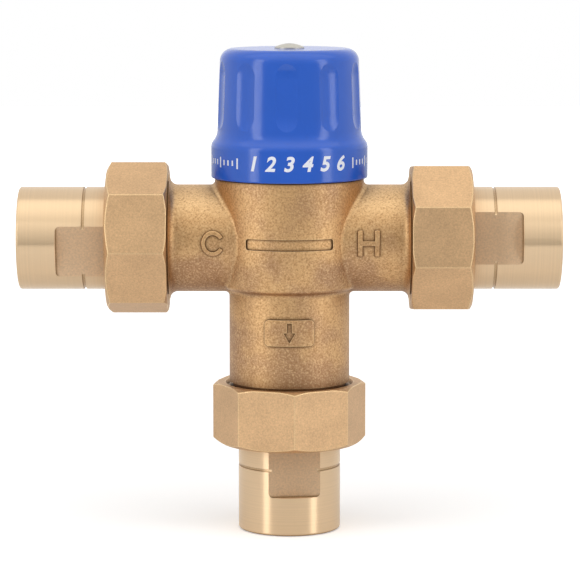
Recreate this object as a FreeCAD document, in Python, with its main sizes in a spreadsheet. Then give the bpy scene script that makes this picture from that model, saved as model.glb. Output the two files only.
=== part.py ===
import FreeCAD, Part
import math
import os
import re

import Sketcher
from FreeCAD import Placement, Rotation, Vector

# Thermostatic mixing valve with three union ends, in millimetres.
# The outlet tail stands on the ground at the origin, +Z is up, the hot inlet points
# along +X and the cold one along -X, and the front of the casting faces -Y.
#
# Two working frames are used. The valve frame has its origin where the inlets' axis
# crosses the barrel's axis. A port frame has its origin in the middle of a port's gasket
# face, with Z pointing out of the port and X towards the front.

SIZES = {
    # fits
    "slip": 0.05,                  # radial play of a turned piece in its bore
    "face_gap": 0.05,              # play between two shoulders
    # ports of the casting
    "inlet_face": 41.4,            # crossing of the axes to the inlets' gasket faces
    "outlet_face": 48.0,           # crossing of the axes to the outlet's gasket face
    "thread_radius": 16.62,
    "thread_length": 8.1,
    "thread_pitch": 2.309,
    "thread_depth": 1.2,
    "thread_turns": 3,
    "thread_lead_in": 0.8,
    "thread_start": 0.6,           # turns from the lead-in to the first root
    "relief_width": 1.2,
    "relief_depth": 1.4,
    # outside of the casting
    "arm_radius": 14.4,
    "flare_length": 2.1,
    "flare_radius": 16.6,
    "leg_radius": 16.2,
    "leg_top_drop": 14.6,          # under the inlets' axis, as the next two are
    "barrel_foot_drop": 11.9,
    "barrel_ease_drop": 1.0,
    "barrel_foot_step": 1.5,
    "barrel_radius": 20.0,
    "shoulder_height": 16.1,
    "neck_top": 24.0,
    "cast_fillet": 1.2,
    "mark_depth": 0.4,
    "bar_width": 23.0,
    "bar_height": 3.0,
    "bar_corner": 0.7,
    "pad_width": 13.1,
    "pad_height": 7.0,
    "pad_corner": 1.2,
    "pad_drop": 23.7,
    "pad_rise": 0.45,
    "arrow_shaft_width": 1.3,
    "arrow_head_width": 3.2,
    "arrow_head_length": 2.7,
    "arrow_length": 5.3,
    # inside of the casting
    "leg_bore": 12.5,
    "ledge_drop": 26.0,
    "ledge_thickness": 2.5,
    "ledge_bore": 8.8,
    "mixing_bore": 11.0,
    "land_half": 2.2,
    "ring_chamber": 15.3,
    "chamber_play": 0.2,
    "port_window_width": 12.0,
    "cold_window_low": 2.8,
    "cold_window_high": 7.6,
    "hot_window_low": -8.4,
    "hot_window_high": -2.8,
    "window_corner": 1.2,
    "arm_wall": 1.4,
    "arm_ledge": 0.5,
    # cap
    "cap_gap": 0.3,                # open joint between the rim and the casting's shoulder
    "rim_radius": 21.0,
    "rim_play": 0.8,               # between the rim and the casting's neck
    "rim_top": 24.7,
    "cap_wall": 1.8,
    "rim_edge": 0.35,
    "skirt_foot_radius": 19.3,
    "skirt_foot": 29.4,
    "skirt_top_radius": 18.6,
    "cap_crown": 3.4,
    "cap_top": 50.9,
    "cap_roof": 2.2,
    "shoulder_share": 0.34,        # part of the rim's shoulder that bulges outwards
    "flute_count": 10,
    "flute_width": 6.0,
    "flute_depth": 0.6,
    "flute_low": 29.7,
    "flute_high": 47.6,
    "cap_turn": 16.0,
    "rib_count": 12,
    "rib_width": 1.4,
    "rib_low": 17.0,
    "rib_high": 23.0,
    "rib_depth": 1.2,
    "slot_depth": 1.0,
    "slot_play": 0.4,
    "cap_boss_radius": 4.6,
    "cap_boss_play": 0.2,
    "gusset_count": 6,
    "gusset_width": 1.2,
    "gusset_depth": 2.4,
    # cap screw
    "screw_radius": 1.95,
    "screw_head_radius": 4.0,
    "screw_head_edge": 0.3,
    "screw_head_height": 1.3,
    "screw_hole_play": 0.15,
    "screw_length": 14.1,
    "screw_key_across": 2.5,
    "screw_key_depth": 1.0,
    # bonnet
    "bonnet_radius": 15.95,
    "bonnet_foot": 8.5,
    "bonnet_flange_radius": 17.3,
    "bonnet_flange_thickness": 2.0,
    "bonnet_hex_across": 27.0,
    "bonnet_hex_height": 5.0,
    "bonnet_boss_radius": 8.5,
    "bonnet_boss_height": 5.0,
    "bonnet_bore": 9.0,
    "collar_pocket_radius": 7.0,
    "collar_pocket_depth": 2.0,
    "bonnet_seal_height": 13.4,
    "bonnet_seal_wire": 0.66,
    "key_count": 2,
    "key_width": 2.4,
    "key_reach": 10.2,
    "key_play": 0.1,
    # spindle
    "stem_radius": 4.95,
    "spindle_foot": 20.0,
    "spindle_thread_radius": 4.0,
    "collar_radius": 6.5,
    "collar_thickness": 1.6,
    "collar_play": 0.2,
    "spindle_top": 44.0,
    "spindle_key_across": 7.6,
    "spindle_key_length": 6.4,
    "spindle_edge": 0.6,
    "stem_seal_wire": 0.52,
    "stem_seal_low": 32.4,
    "stem_seal_high": 34.4,
    "clip_thickness": 0.8,
    "clip_bite": 0.6,
    "clip_reach": 1.65,
    "clip_opening": 50.0,
    "tapped_hole_depth": 8.5,
    # plunger and overload spring
    "plunger_foot": 12.0,
    "plunger_top": 27.0,
    "plunger_chamber": 6.6,
    "plunger_roof": 20.5,
    "plunger_key_low": 14.6,
    "plunger_key_high": 25.0,
    "cup_foot": 14.4,
    "cup_flange": 1.2,
    "cup_play": 0.2,
    "cup_guide_radius": 4.0,
    "cup_top": 18.0,
    "cup_roof": 1.8,
    "cup_clip_thickness": 0.8,
    "cup_clip_bite": 0.5,
    "cup_clip_reach": 1.0,
    "overload_wire": 0.5,
    "overload_radius": 5.2,
    "overload_turns": 1,
    # regulator
    "shuttle_radius": 12.5,
    "shuttle_foot": -9.0,
    "shuttle_top": 7.0,
    "shuttle_wall": 1.5,
    "shuttle_bevel": 0.4,
    "land_play": 0.1,
    "web_half": 1.2,
    "hub_radius": 5.6,
    "hub_rise": 1.4,
    "flow_hole_count": 6,
    "flow_hole_radius": 1.3,
    "flow_hole_circle": 7.3,
    "shuttle_seal_half": 0.7,
    "shuttle_seal_depth": 0.75,
    "bulb_radius": 5.2,
    "bulb_foot": -28.0,
    "bulb_rounding": 1.8,
    "crimp_radius": 5.5,
    "crimp_height": 3.0,
    "guide_radius": 3.5,
    "guide_top": 9.0,
    "guide_hole_floor": 2.0,
    "pin_radius": 1.6,
    "pin_foot": 3.0,
    "neck_clip_thickness": 0.6,
    "neck_clip_bite": 0.4,
    "neck_clip_reach": 1.2,
    "return_wire": 0.6,
    "return_radius": 9.6,
    "return_turns": 5,
    # check cartridges, in the port frame
    "cartridge_radius": 10.9,
    "cartridge_bore_play": 0.1,
    "cartridge_length": 21.9,
    "cartridge_end_play": 0.1,
    "cage_rim": 1.0,
    "cage_rim_thickness": 1.5,
    "cage_chamber": 9.6,
    "cage_mouth": 9.0,
    "cage_mouth_depth": 1.6,
    "throat_radius": 7.6,
    "throat_start": 3.2,
    "seat_depth": 4.4,
    "cage_seal_depth": 6.7,
    "cage_seal_wire": 0.47,
    "seal_groove_play": 0.3,
    "poppet_radius": 8.6,
    "poppet_thickness": 1.8,
    "poppet_seal_thickness": 0.6,
    "poppet_nose_radius": 6.4,
    "poppet_nose_rise": 1.7,
    "poppet_stem_radius": 1.6,
    "poppet_stem_end": 19.9,
    "spider_thickness": 1.8,
    "spider_hub_radius": 3.8,
    "spider_hub_height": 3.5,
    "spider_hole_count": 5,
    "spider_hole_radius": 1.9,
    "spider_hole_circle": 6.6,
    "check_wire": 0.3,
    "check_radius": 3.15,
    "check_turns": 4,
    "strainer_radius": 8.8,
    "strainer_wall": 0.4,
    "strainer_rim_radius": 11.0,
    "strainer_rim_thickness": 0.5,
    "strainer_side": 7.0,
    "strainer_top": 10.0,
    "strainer_slot_count": 12,
    "strainer_slot_width": 1.4,
    "strainer_slot_low": 1.5,
    "strainer_slot_high": 6.5,
    # union: gasket, tailpiece and nut, in the port frame
    "gasket_thickness": 2.0,
    "gasket_bore": 11.2,
    "gasket_margin": 0.3,
    "flange_radius": 15.3,
    "flange_thickness": 2.7,
    "tail_radius": 13.8,
    "tail_length": 29.1,
    "tail_edge": 0.7,
    "waterway_radius": 9.5,
    "socket_radius": 11.15,
    "socket_depth": 18.5,
    "socket_lead_in": 0.4,
    "groove_from_end": 17.7,
    "groove_width": 0.8,
    "groove_depth": 0.4,
    "flat_distance": 11.92,
    "flat_from_end": 10.4,
    "flat_margin": 0.6,
    "flat_corner": 1.2,
    "flat_count": 2,
    "nut_sides": 8,
    "nut_across": 38.25,
    "nut_reach": 8.9,              # behind the gasket face
    "nut_lip": 2.75,
    "nut_hole_play": 0.15,
    "nut_mouth": 0.7,
    "nut_outer_face_radius": 18.5,
    "nut_inner_face_radius": 19.4,
    "nut_bevel": 30.0,             # degrees
    # how far each nut and tailpiece is turned about its port, in degrees
    "cold_nut_turn": -5.5,
    "hot_nut_turn": 16.2,
    "outlet_nut_turn": -3.8,
    "cold_tail_turn": -11.8,
    "hot_tail_turn": -5.5,
    "outlet_tail_turn": -6.5,
}

# Sizes that follow from the ones above, in the order in which they depend on each other.
FITS = {
    "tail_end": "gasket_thickness + tail_length",
    "arm_height": "outlet_face + tail_end",
    "flange_end": "gasket_thickness + flange_thickness",
    "gasket_radius": "flange_radius - gasket_margin",
    "socket_floor": "tail_end - socket_depth",
    "groove_low": "tail_end - groove_from_end - groove_width / 2",
    "groove_high": "groove_low + groove_width",
    "flat_low": "flange_end + flat_margin",
    "flat_high": "tail_end - flat_from_end",
    "nut_bore": "thread_radius + slip",
    "nut_shoulder": "flange_end + face_gap",
    "nut_end": "nut_shoulder + nut_lip",
    "nut_hole": "tail_radius + nut_hole_play",
    "nut_corner": "nut_across / 2 / cos(180 / nut_sides)",
    "port_length": "thread_length + relief_width",
    "thread_flank": "thread_depth * tan(30) + face_gap",
    "barrel_foot_radius": "barrel_radius - barrel_foot_step",
    "barrel_ease": "(pow(barrel_foot_drop - barrel_ease_drop; 2)"
                   " + pow(barrel_radius - barrel_foot_radius; 2))"
                   " / (2 * (barrel_radius - barrel_foot_radius))",
    "bar_back": "sqrt(pow(barrel_radius - mark_depth; 2) - pow(bar_width / 2; 2)) - slip",
    "bonnet_seat_bore": "bonnet_radius + slip",
    "upper_chamber_top": "bonnet_foot - chamber_play",
    "shuttle_travel": "upper_chamber_top - shuttle_top",
    "seat_drop": "shuttle_travel + chamber_play - shuttle_foot",
    "land_radius": "shuttle_radius + land_play",
    "arm_bore_end": "bonnet_seat_bore + arm_wall",
    "cartridge_bore": "cartridge_radius + cartridge_bore_play",
    "cartridge_floor": "cartridge_length + cartridge_end_play",
    "cage_rim_radius": "cartridge_radius + cage_rim",
    "cage_rim_bore": "cage_rim_radius + cartridge_bore_play",
    "rim_low": "shoulder_height + cap_gap",
    "rim_inner": "rim_radius - cap_wall",
    "neck_radius": "rim_inner - rim_play",
    "rib_reach": "rim_inner - rib_depth",
    "cap_crown_low": "cap_top - cap_crown",
    "cap_ceiling": "cap_top - cap_roof",
    "skirt_lean": "atan((skirt_foot_radius - skirt_top_radius) / (cap_crown_low - skirt_foot))",
    "skirt_middle": "(skirt_foot_radius + skirt_top_radius) / 2",
    "flute_sagitta": "skirt_middle - sqrt(skirt_middle * skirt_middle"
                     " - flute_width * flute_width / 4)",
    "flute_hollow": "flute_depth - flute_sagitta",
    "flute_radius": "(flute_width * flute_width / 4 + flute_hollow * flute_hollow)"
                    " / (2 * flute_hollow)",
    "flute_axis": "flute_radius - flute_depth",
    "flute_run_out": "sqrt(2 * flute_radius * flute_depth - flute_depth * flute_depth)",
    "flute_half": "(flute_high - flute_low) / 2 - flute_run_out",
    "cap_boss_foot": "spindle_top + cap_boss_play",
    "screw_hole": "screw_radius + screw_hole_play",
    "screw_foot": "cap_top - screw_length",
    "screw_crown": "screw_head_height - screw_head_edge",
    "bonnet_flange_top": "neck_top + bonnet_flange_thickness",
    "bonnet_hex_top": "bonnet_flange_top + bonnet_hex_height",
    "bonnet_boss_top": "bonnet_hex_top + bonnet_boss_height",
    "bonnet_bore_roof": "bonnet_hex_top - collar_pocket_depth",
    "bonnet_seal_groove": "bonnet_radius - 2 * bonnet_seal_wire",
    "stem_bore": "stem_radius + slip",
    "collar_low": "bonnet_bore_roof + collar_play",
    "collar_high": "collar_low + collar_thickness",
    "clip_low": "bonnet_boss_top + face_gap",
    "clip_high": "clip_low + clip_thickness",
    "clip_groove": "stem_radius - clip_bite",
    "tapped_hole": "screw_radius + slip",
    "plunger_radius": "bonnet_bore - slip",
    "plunger_thread": "spindle_thread_radius + slip",
    "cup_radius": "plunger_chamber - cup_play",
    "cup_pocket_roof": "cup_top - cup_roof",
    "cup_clip_low": "cup_foot - cup_clip_thickness",
    "shuttle_bore": "shuttle_radius - shuttle_wall",
    "pin_hole": "pin_radius + slip",
    "hub_top": "web_half + hub_rise",
    "guide_bore": "guide_radius + slip",
    "seal_floor": "seat_depth + poppet_seal_thickness",
    "poppet_back": "seal_floor + poppet_thickness",
    "spider_top": "cartridge_length - spider_thickness",
    "spider_hub_top": "cartridge_length - spider_hub_height",
    "strainer_rise": "strainer_top - strainer_side",
    "strainer_dome": "(strainer_radius * strainer_radius + strainer_rise * strainer_rise)"
                     " / (2 * strainer_rise)",
    "strainer_inner": "strainer_radius - strainer_wall",
    "strainer_inner_side": "strainer_top - strainer_dome"
                           " + sqrt(pow(strainer_dome - strainer_wall; 2)"
                           " - pow(strainer_inner; 2))",
}

FULL_TURN = 360
FRONT = Vector(0, -1, 0)

doc = FreeCAD.newDocument("MixingValve")
nodes = []


# ---------------------------------------------------------------- sheets and formulas

def with_sheets(formula):
    """Put the sheet's name before each size in a formula written in plain names."""
    def prefixed(match):
        word = match.group(0)
        if word in SIZES:
            return "Sizes." + word
        if word in FITS:
            return "Fits." + word
        return word
    return re.sub(r"[a-z_]+", prefixed, formula)


def fill_sheet(name, rows):
    """Make a sheet with one named cell a row."""
    sheet = doc.addObject("Spreadsheet::Sheet", name)
    for row, (alias, content) in enumerate(rows, start=1):
        sheet.set("A%d" % row, alias)
        sheet.set("B%d" % row, content)
        sheet.setAlias("B%d" % row, alias)
    doc.recompute()
    return sheet


sizes = fill_sheet("Sizes", [(name, str(value)) for name, value in SIZES.items()])
fits = fill_sheet("Fits", [(name, "=" + with_sheets(rule)) for name, rule in FITS.items()])


def size(formula):
    """The number that a formula of named sizes comes to."""
    return float(sizes.evalExpression(with_sheets(formula)))


def bind(thing, property_name, formula):
    """Tie a property to a formula of named sizes."""
    thing.setExpression(property_name, with_sheets(formula))


# ---------------------------------------------------------------- sketches

def plane_of(body, role):
    return [item for item in body.Origin.OriginFeatures if item.Role == role][0]


def new_sketch(body, name, role, offset=None, turn=None):
    """A sketch on one of the body's own planes, moved along its normal and turned in it."""
    sketch = body.newObject("Sketcher::SketchObject", name)
    sketch.AttachmentSupport = [(plane_of(body, role), "")]
    sketch.MapMode = "FlatFace"
    if turn:
        sketch.AttachmentOffset = Placement(Vector(0, 0, 0), Rotation(Vector(0, 0, 1), size(turn)))
    if offset:
        bind(sketch, "AttachmentOffset.Base.z", offset)
    return sketch


def hold(sketch, item, end, x, y):
    """Fix one end of a sketch item at a named place."""
    for axis_line, kind, formula in ((-2, "DistanceX", x), (-1, "DistanceY", y)):
        if formula == "0":
            sketch.addConstraint(Sketcher.Constraint("PointOnObject", item, end, axis_line))
            continue
        row = sketch.addConstraint(
            Sketcher.Constraint(kind, -1, 1, item, end, size(formula)))
        bind(sketch, "Constraints[%d]" % row, formula)


def arc_between(start, end, radius, side):
    """The short arc from start to end whose centre is on the given side of the way."""
    chord = end - start
    reach = math.sqrt(max(radius ** 2 - (chord.Length / 2) ** 2, 0))
    left = Vector(-chord.y, chord.x, 0).normalize()
    centre = start + chord * 0.5 + left * (reach if side == "left" else -reach)
    first, last = (start, end) if side == "left" else (end, start)
    angles = [math.atan2((p - centre).y, (p - centre).x) for p in (first, last)]
    circle = Part.Circle(centre, Vector(0, 0, 1), radius)
    return Part.ArcOfCircle(circle, angles[0], angles[1])


def outline(sketch, points):
    """A closed outline through named points. A point is (x, y), reached by a straight
    line, or (x, y, radius, side), reached by an arc with its centre on that side."""
    places = [Vector(size(point[0]), size(point[1]), 0) for point in points]
    first = sketch.GeometryCount
    ends = []
    for number, point in enumerate(points):
        start = places[number - 1]
        end = places[number]
        if len(point) == 2:
            item = sketch.addGeometry(Part.LineSegment(start, end))
            ends.append((item, 1, 2))
            continue
        radius, side = point[2:]
        item = sketch.addGeometry(arc_between(start, end, size(radius), side))
        row = sketch.addConstraint(Sketcher.Constraint("Radius", item, size(radius)))
        bind(sketch, "Constraints[%d]" % row, radius)
        ends.append((item, 1, 2) if side == "left" else (item, 2, 1))
    for number, (item, start, end) in enumerate(ends):
        following = ends[(number + 1) % len(ends)]
        sketch.addConstraint(
            Sketcher.Constraint("Coincident", item, end, following[0], following[1]))
        hold(sketch, first + number, end, points[number][0], points[number][1])


def circle_at(sketch, x, y, radius):
    item = sketch.addGeometry(
        Part.Circle(Vector(size(x), size(y), 0), Vector(0, 0, 1), size(radius)))
    hold(sketch, item, 3, x, y)
    row = sketch.addConstraint(Sketcher.Constraint("Radius", item, size(radius)))
    bind(sketch, "Constraints[%d]" % row, radius)


def rounded_rectangle(sketch, left, right, low, high, corner):
    """A rectangle between named sides with four equal round corners."""
    in_left, in_right = "(%s) + %s" % (left, corner), "(%s) - %s" % (right, corner)
    in_low, in_high = "(%s) + %s" % (low, corner), "(%s) - %s" % (high, corner)
    outline(sketch, [
        (in_left, low, corner, "left"), (in_right, low),
        (right, in_low, corner, "left"), (right, in_high),
        (in_right, high, corner, "left"), (in_left, high),
        (left, in_high, corner, "left"), (left, in_low),
    ])


def ogee(start, end, share, sides):
    """Two arcs that leave start and reach end parallel to the sketch's upright axis."""
    across = "((%s) - (%s))" % (end[0], start[0])
    along = "((%s) - (%s))" % (end[1], start[1])
    chord = "(pow(%s; 2) + pow(%s; 2))" % (across, along)
    middle = tuple("(%s) + %s * %s" % (start[k], share, step)
                   for k, step in enumerate((across, along)))
    radii = ["%s * %s / (2 * abs(%s))" % (part, chord, across)
             for part in (share, "(1 - %s)" % share)]
    return [middle + (radii[0], sides[0]), tuple(end) + (radii[1], sides[1])]


# ---------------------------------------------------------------- features

def new_body(name, placement=None):
    """A piece, in the valve frame unless it has a placement of its own."""
    body = doc.addObject("PartDesign::Body", name)
    if placement:
        body.Placement = placement
    else:
        bind(body, "Placement.Base.z", "arm_height")
    doc.recompute()
    nodes.append(body)
    return body


def turned(body, name, points, cut=False, axis="V_Axis", role="XZ_Plane"):
    """Turn an outline of (radius, height) points about the piece's axis."""
    sketch = new_sketch(body, name + "Section", role)
    outline(sketch, points)
    kind = "PartDesign::Groove" if cut else "PartDesign::Revolution"
    feature = body.newObject(kind, name)
    feature.Profile = sketch
    feature.ReferenceAxis = (sketch, [axis])
    feature.Angle = FULL_TURN
    return feature


def extruded(body, name, sketch, length, cut=False, backwards=False, both=False):
    feature = body.newObject("PartDesign::Pocket" if cut else "PartDesign::Pad", name)
    feature.Profile = sketch
    if both:
        feature.SideType = "Symmetric"
    feature.Reversed = backwards
    bind(feature, "Length", length)
    return feature


def around(body, feature, count, role="Z_Axis"):
    """Repeat a feature evenly about one of the body's axes."""
    pattern = body.newObject("PartDesign::PolarPattern", feature.Name + "Around")
    pattern.Originals = [feature]
    pattern.Axis = (plane_of(body, role), [""])
    pattern.Angle = FULL_TURN
    bind(pattern, "Occurrences", count)
    body.Tip = pattern
    return pattern


def prism(body, name, sides, across, low, height):
    """A regular prism about the piece's axis, with a corner on its X axis."""
    sketch = new_sketch(body, name + "Outline", "XY_Plane", offset=low)
    corner = "(%s) / 2 / cos(180 / %s)" % (across, sides)
    step = "%d * 360 / " + sides
    outline(sketch, [(corner + " * cos(" + step % k + ")", corner + " * sin(" + step % k + ")")
                     for k in range(int(size(sides)))])
    return extruded(body, name, sketch, height)


def rounded(body, name, feature, edges, radius):
    fillet = body.newObject("PartDesign::Fillet", name)
    fillet.Base = (feature, edges)
    bind(fillet, "Radius", radius)
    return fillet


def o_ring(name, radius, wire, height, placement=None):
    """An O-ring, lying in its groove."""
    ring = doc.addObject("Part::Torus", name)
    bind(ring, "Radius1", radius)
    bind(ring, "Radius2", wire)
    if placement:
        ring.Placement = placement
    else:
        bind(ring, "Placement.Base.z", "arm_height + (%s)" % height)
    nodes.append(ring)
    return ring


def coil(body, name, radius, wire, low, pitch, turns):
    """One helical stretch of round wire whose centre starts at the given height."""
    sketch = new_sketch(body, name + "Wire", "XZ_Plane")
    circle_at(sketch, radius, low, wire)
    helix = body.newObject("PartDesign::AdditiveHelix", name)
    helix.Profile = sketch
    helix.ReferenceAxis = (sketch, ["V_Axis"])
    helix.Mode = "pitch-turns-angle"
    bind(helix, "Pitch", pitch)
    bind(helix, "Turns", turns)
    return helix


def spring(name, radius, wire, low, high, turns, placement=None):
    """A compression spring with one closed coil at each end."""
    body = new_body(name, placement)
    closed = "(%s * 2.1)" % wire
    rise = "((%s) - (%s) - 2 * %s - 2 * %s)" % (high, low, wire, closed)
    start = "(%s) + %s" % (low, wire)
    coil(body, name + "FootCoil", radius, wire, start, closed, "1")
    coil(body, name + "Coils", radius, wire, start + " + " + closed,
         "%s / %s" % (rise, turns), turns)
    coil(body, name + "HeadCoil", radius, wire, start + " + " + closed + " + " + rise, closed, "1")
    return body


def split_ring(name, inner, outer, low, thickness, opening, placement=None):
    """A retaining ring, open over an angle."""
    body = new_body(name, placement)
    high = "(%s) + %s" % (low, thickness)
    ring = turned(body, name + "Ring", [(inner, low), (outer, low), (outer, high), (inner, high)])
    bind(ring, "Angle", "360 - " + opening)
    return body


# ---------------------------------------------------------------- the casting

def port_thread(face, sign, along):
    """Points of a male thread's crests and roots, from the relief to the gasket face.

    The face's distance grows outwards by sign, and along makes a point of a radius and a
    distance."""
    relief = "thread_radius - relief_depth"
    end = "(%s)" % face
    points = [along(relief, "%s*(%s - port_length)" % (sign, end)),
              along(relief, "%s*(%s - thread_length)" % (sign, end)),
              along("thread_radius", "%s*(%s - thread_length)" % (sign, end))]
    for turn in reversed(range(int(size("thread_turns")))):
        root = "thread_lead_in + (%d + thread_start) * thread_pitch" % turn
        for radius, depth in (("thread_radius", root + " + thread_flank"),
                              ("thread_radius - thread_depth", root),
                              ("thread_radius", root + " - thread_flank")):
            points.append(along(radius, "%s*(%s - (%s))" % (sign, end, depth)))
    points.append(along("thread_radius", "%s*(%s - thread_lead_in)" % (sign, end)))
    points.append(along("thread_radius - thread_lead_in", "%s*%s" % (sign, end)))
    points.append(along("0", "%s*%s" % (sign, end)))
    return points


def trunk_points():
    """Outside of the barrel and the outlet leg, as (radius, height)."""
    thread = port_thread("outlet_face", "-1", lambda radius, place: (radius, place))
    foot = ("barrel_foot_radius", "-barrel_foot_drop")
    return list(reversed(thread)) + [
        ("leg_radius", "port_length - outlet_face"),
        ("leg_radius", "-leg_top_drop"),
    ] + ogee(("leg_radius", "-leg_top_drop"), foot, "0.5", ("right", "left")) + [
        ("barrel_radius", "-barrel_ease_drop", "barrel_ease", "left"),
        ("barrel_radius", "shoulder_height"),
        ("neck_radius", "shoulder_height"),
        ("neck_radius", "neck_top"),
        ("0", "neck_top"),
    ]


def arm_points():
    """Outside of both inlet arms, as (distance along X, radius), from cold to hot."""
    hot = port_thread("inlet_face", "1", lambda radius, place: (place, radius))
    cold = port_thread("inlet_face", "-1", lambda radius, place: (place, radius))
    rise = "(flare_radius - arm_radius)"
    sweep = "(pow(%s; 2) + pow(flare_length; 2)) / (2 * %s)" % (rise, rise)
    flare = "(inlet_face - port_length)"
    return list(reversed(cold)) + [
        ("-" + flare, "flare_radius"),
        ("flare_length - " + flare, "arm_radius", sweep, "left"),
        (flare + " - flare_length", "arm_radius"),
        (flare, "flare_radius", sweep, "left"),
    ] + hot


def junction_edges(shape):
    """Edges where the arms' round surface meets a surface turned about the barrel's axis."""
    def axis_of(face):
        surface = face.Surface
        return getattr(surface, "Axis", None)
    found = []
    for number, edge in enumerate(shape.Edges, start=1):
        axes = [axis_of(face) for face in shape.ancestorsOfType(edge, Part.Face)]
        if len(axes) != 2 or None in axes:
            continue
        along_arm = [abs(axis.x) > 0.99 for axis in axes]
        upright = [abs(axis.z) > 0.99 for axis in axes]
        if any(along_arm) and any(upright):
            found.append("Edge%d" % number)
    return found


def arm_bore(body, name, sign):
    """The stepped blind bore of one inlet arm, which holds the check cartridge."""
    far = sign + "inlet_face"

    def inward(depth):
        return "%s*(inlet_face - %s)" % (sign + "1", depth)
    end = sign + "arm_bore_end"
    return turned(body, name, [
        (end, "0"), (end, "cartridge_bore - arm_ledge"),
        (inward("cartridge_floor"), "cartridge_bore - arm_ledge"),
        (inward("cartridge_floor"), "cartridge_bore"),
        (inward("cage_rim_thickness"), "cartridge_bore"),
        (inward("cage_rim_thickness"), "cage_rim_bore"),
        (far, "cage_rim_bore"), (far, "0"),
    ], cut=True, axis="H_Axis")


def valve_body():
    body = new_body("valve_body")
    turned(body, "Trunk", trunk_points())
    arms = turned(body, "Arms", arm_points(), axis="H_Axis")
    doc.recompute()
    rounded(body, "CastFillets", arms, junction_edges(arms.Shape), "cast_fillet")

    pad = new_sketch(body, "PadOutline", "XZ_Plane")
    rounded_rectangle(pad, "-pad_width / 2", "pad_width / 2", "-pad_drop - pad_height / 2",
                      "pad_height / 2 - pad_drop", "pad_corner")
    extruded(body, "FlowPad", pad, "leg_radius + 2 * pad_rise")
    face = "leg_radius + pad_rise"
    low, high = "-pad_drop - pad_height", "pad_height - pad_drop"
    turned(body, "PadFace", [(face, low), (face + " + 2", low), (face + " + 2", high),
                             (face, high)], cut=True)
    arrow = new_sketch(body, "ArrowOutline", "XZ_Plane", offset="leg_radius + 2 * pad_rise")
    half = "arrow_length / 2"
    neck = "arrow_head_length - %s - pad_drop" % half
    outline(arrow, [
        ("0", "-%s - pad_drop" % half), ("arrow_head_width / 2", neck),
        ("arrow_shaft_width / 2", neck), ("arrow_shaft_width / 2", half + " - pad_drop"),
        ("-arrow_shaft_width / 2", half + " - pad_drop"), ("-arrow_shaft_width / 2", neck),
        ("-arrow_head_width / 2", neck),
    ])
    extruded(body, "FlowArrow", arrow, "pad_rise + mark_depth", cut=True)

    bar = new_sketch(body, "BarOutline", "XZ_Plane", offset="barrel_radius")
    rounded_rectangle(bar, "-bar_width / 2", "bar_width / 2", "-bar_height / 2",
                      "bar_height / 2", "bar_corner")
    extruded(body, "SunkBar", bar, "barrel_radius - bar_back", cut=True)
    back, floor = "-(bar_back - slip)", "-(barrel_radius - mark_depth)"
    low, high = "-bar_height / 2 - bar_corner", "bar_height / 2 + bar_corner"
    filled = turned(body, "BarFloor", [(back, low), (back, high), (floor, high), (floor, low)],
                    role="YZ_Plane")
    bind(filled, "Angle", "2 * asin((bar_width / 2 + bar_corner) / barrel_radius)")
    filled.Midplane = True

    turned(body, "Chamber", [
        ("0", "-outlet_face"), ("leg_bore", "-outlet_face"),
        ("leg_bore", "-ledge_drop - ledge_thickness"),
        ("ledge_bore", "-ledge_drop - ledge_thickness"), ("ledge_bore", "-ledge_drop"),
        ("mixing_bore", "-ledge_drop"), ("mixing_bore", "-seat_drop"),
        ("ring_chamber", "-seat_drop"), ("ring_chamber", "-land_half"),
        ("land_radius", "-land_half"), ("land_radius", "land_half"),
        ("ring_chamber", "land_half"), ("ring_chamber", "upper_chamber_top"),
        ("bonnet_seat_bore", "upper_chamber_top"), ("bonnet_seat_bore", "neck_top"),
        ("0", "neck_top"),
    ], cut=True)
    arm_bore(body, "HotBore", "")
    arm_bore(body, "ColdBore", "-")
    for name, sign, low, high in (("HotWindow", "", "hot_window_low", "hot_window_high"),
                                  ("ColdWindow", "-", "cold_window_low", "cold_window_high")):
        window = new_sketch(body, name + "Outline", "YZ_Plane", offset=sign + "land_radius")
        rounded_rectangle(window, "-port_window_width / 2", "port_window_width / 2",
                          low, high, "window_corner")
        extruded(body, name, window, "arm_bore_end + arm_ledge - land_radius", cut=True,
                 backwards=(sign == ""))

    slot = new_sketch(body, "NeckSlotOutline", "XY_Plane", offset="neck_top", turn="cap_turn")
    side = "(rib_width + slot_play) / 2"
    near, far = "neck_radius - slot_depth", "neck_radius + slot_depth"
    outline(slot, [(near, "-" + side), (far, "-" + side), (far, side), (near, side)])
    first = extruded(body, "NeckSlot", slot, "neck_top - rib_low + slot_play", cut=True)
    around(body, first, "rib_count")


# ---------------------------------------------------------------- cap and its screw

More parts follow.
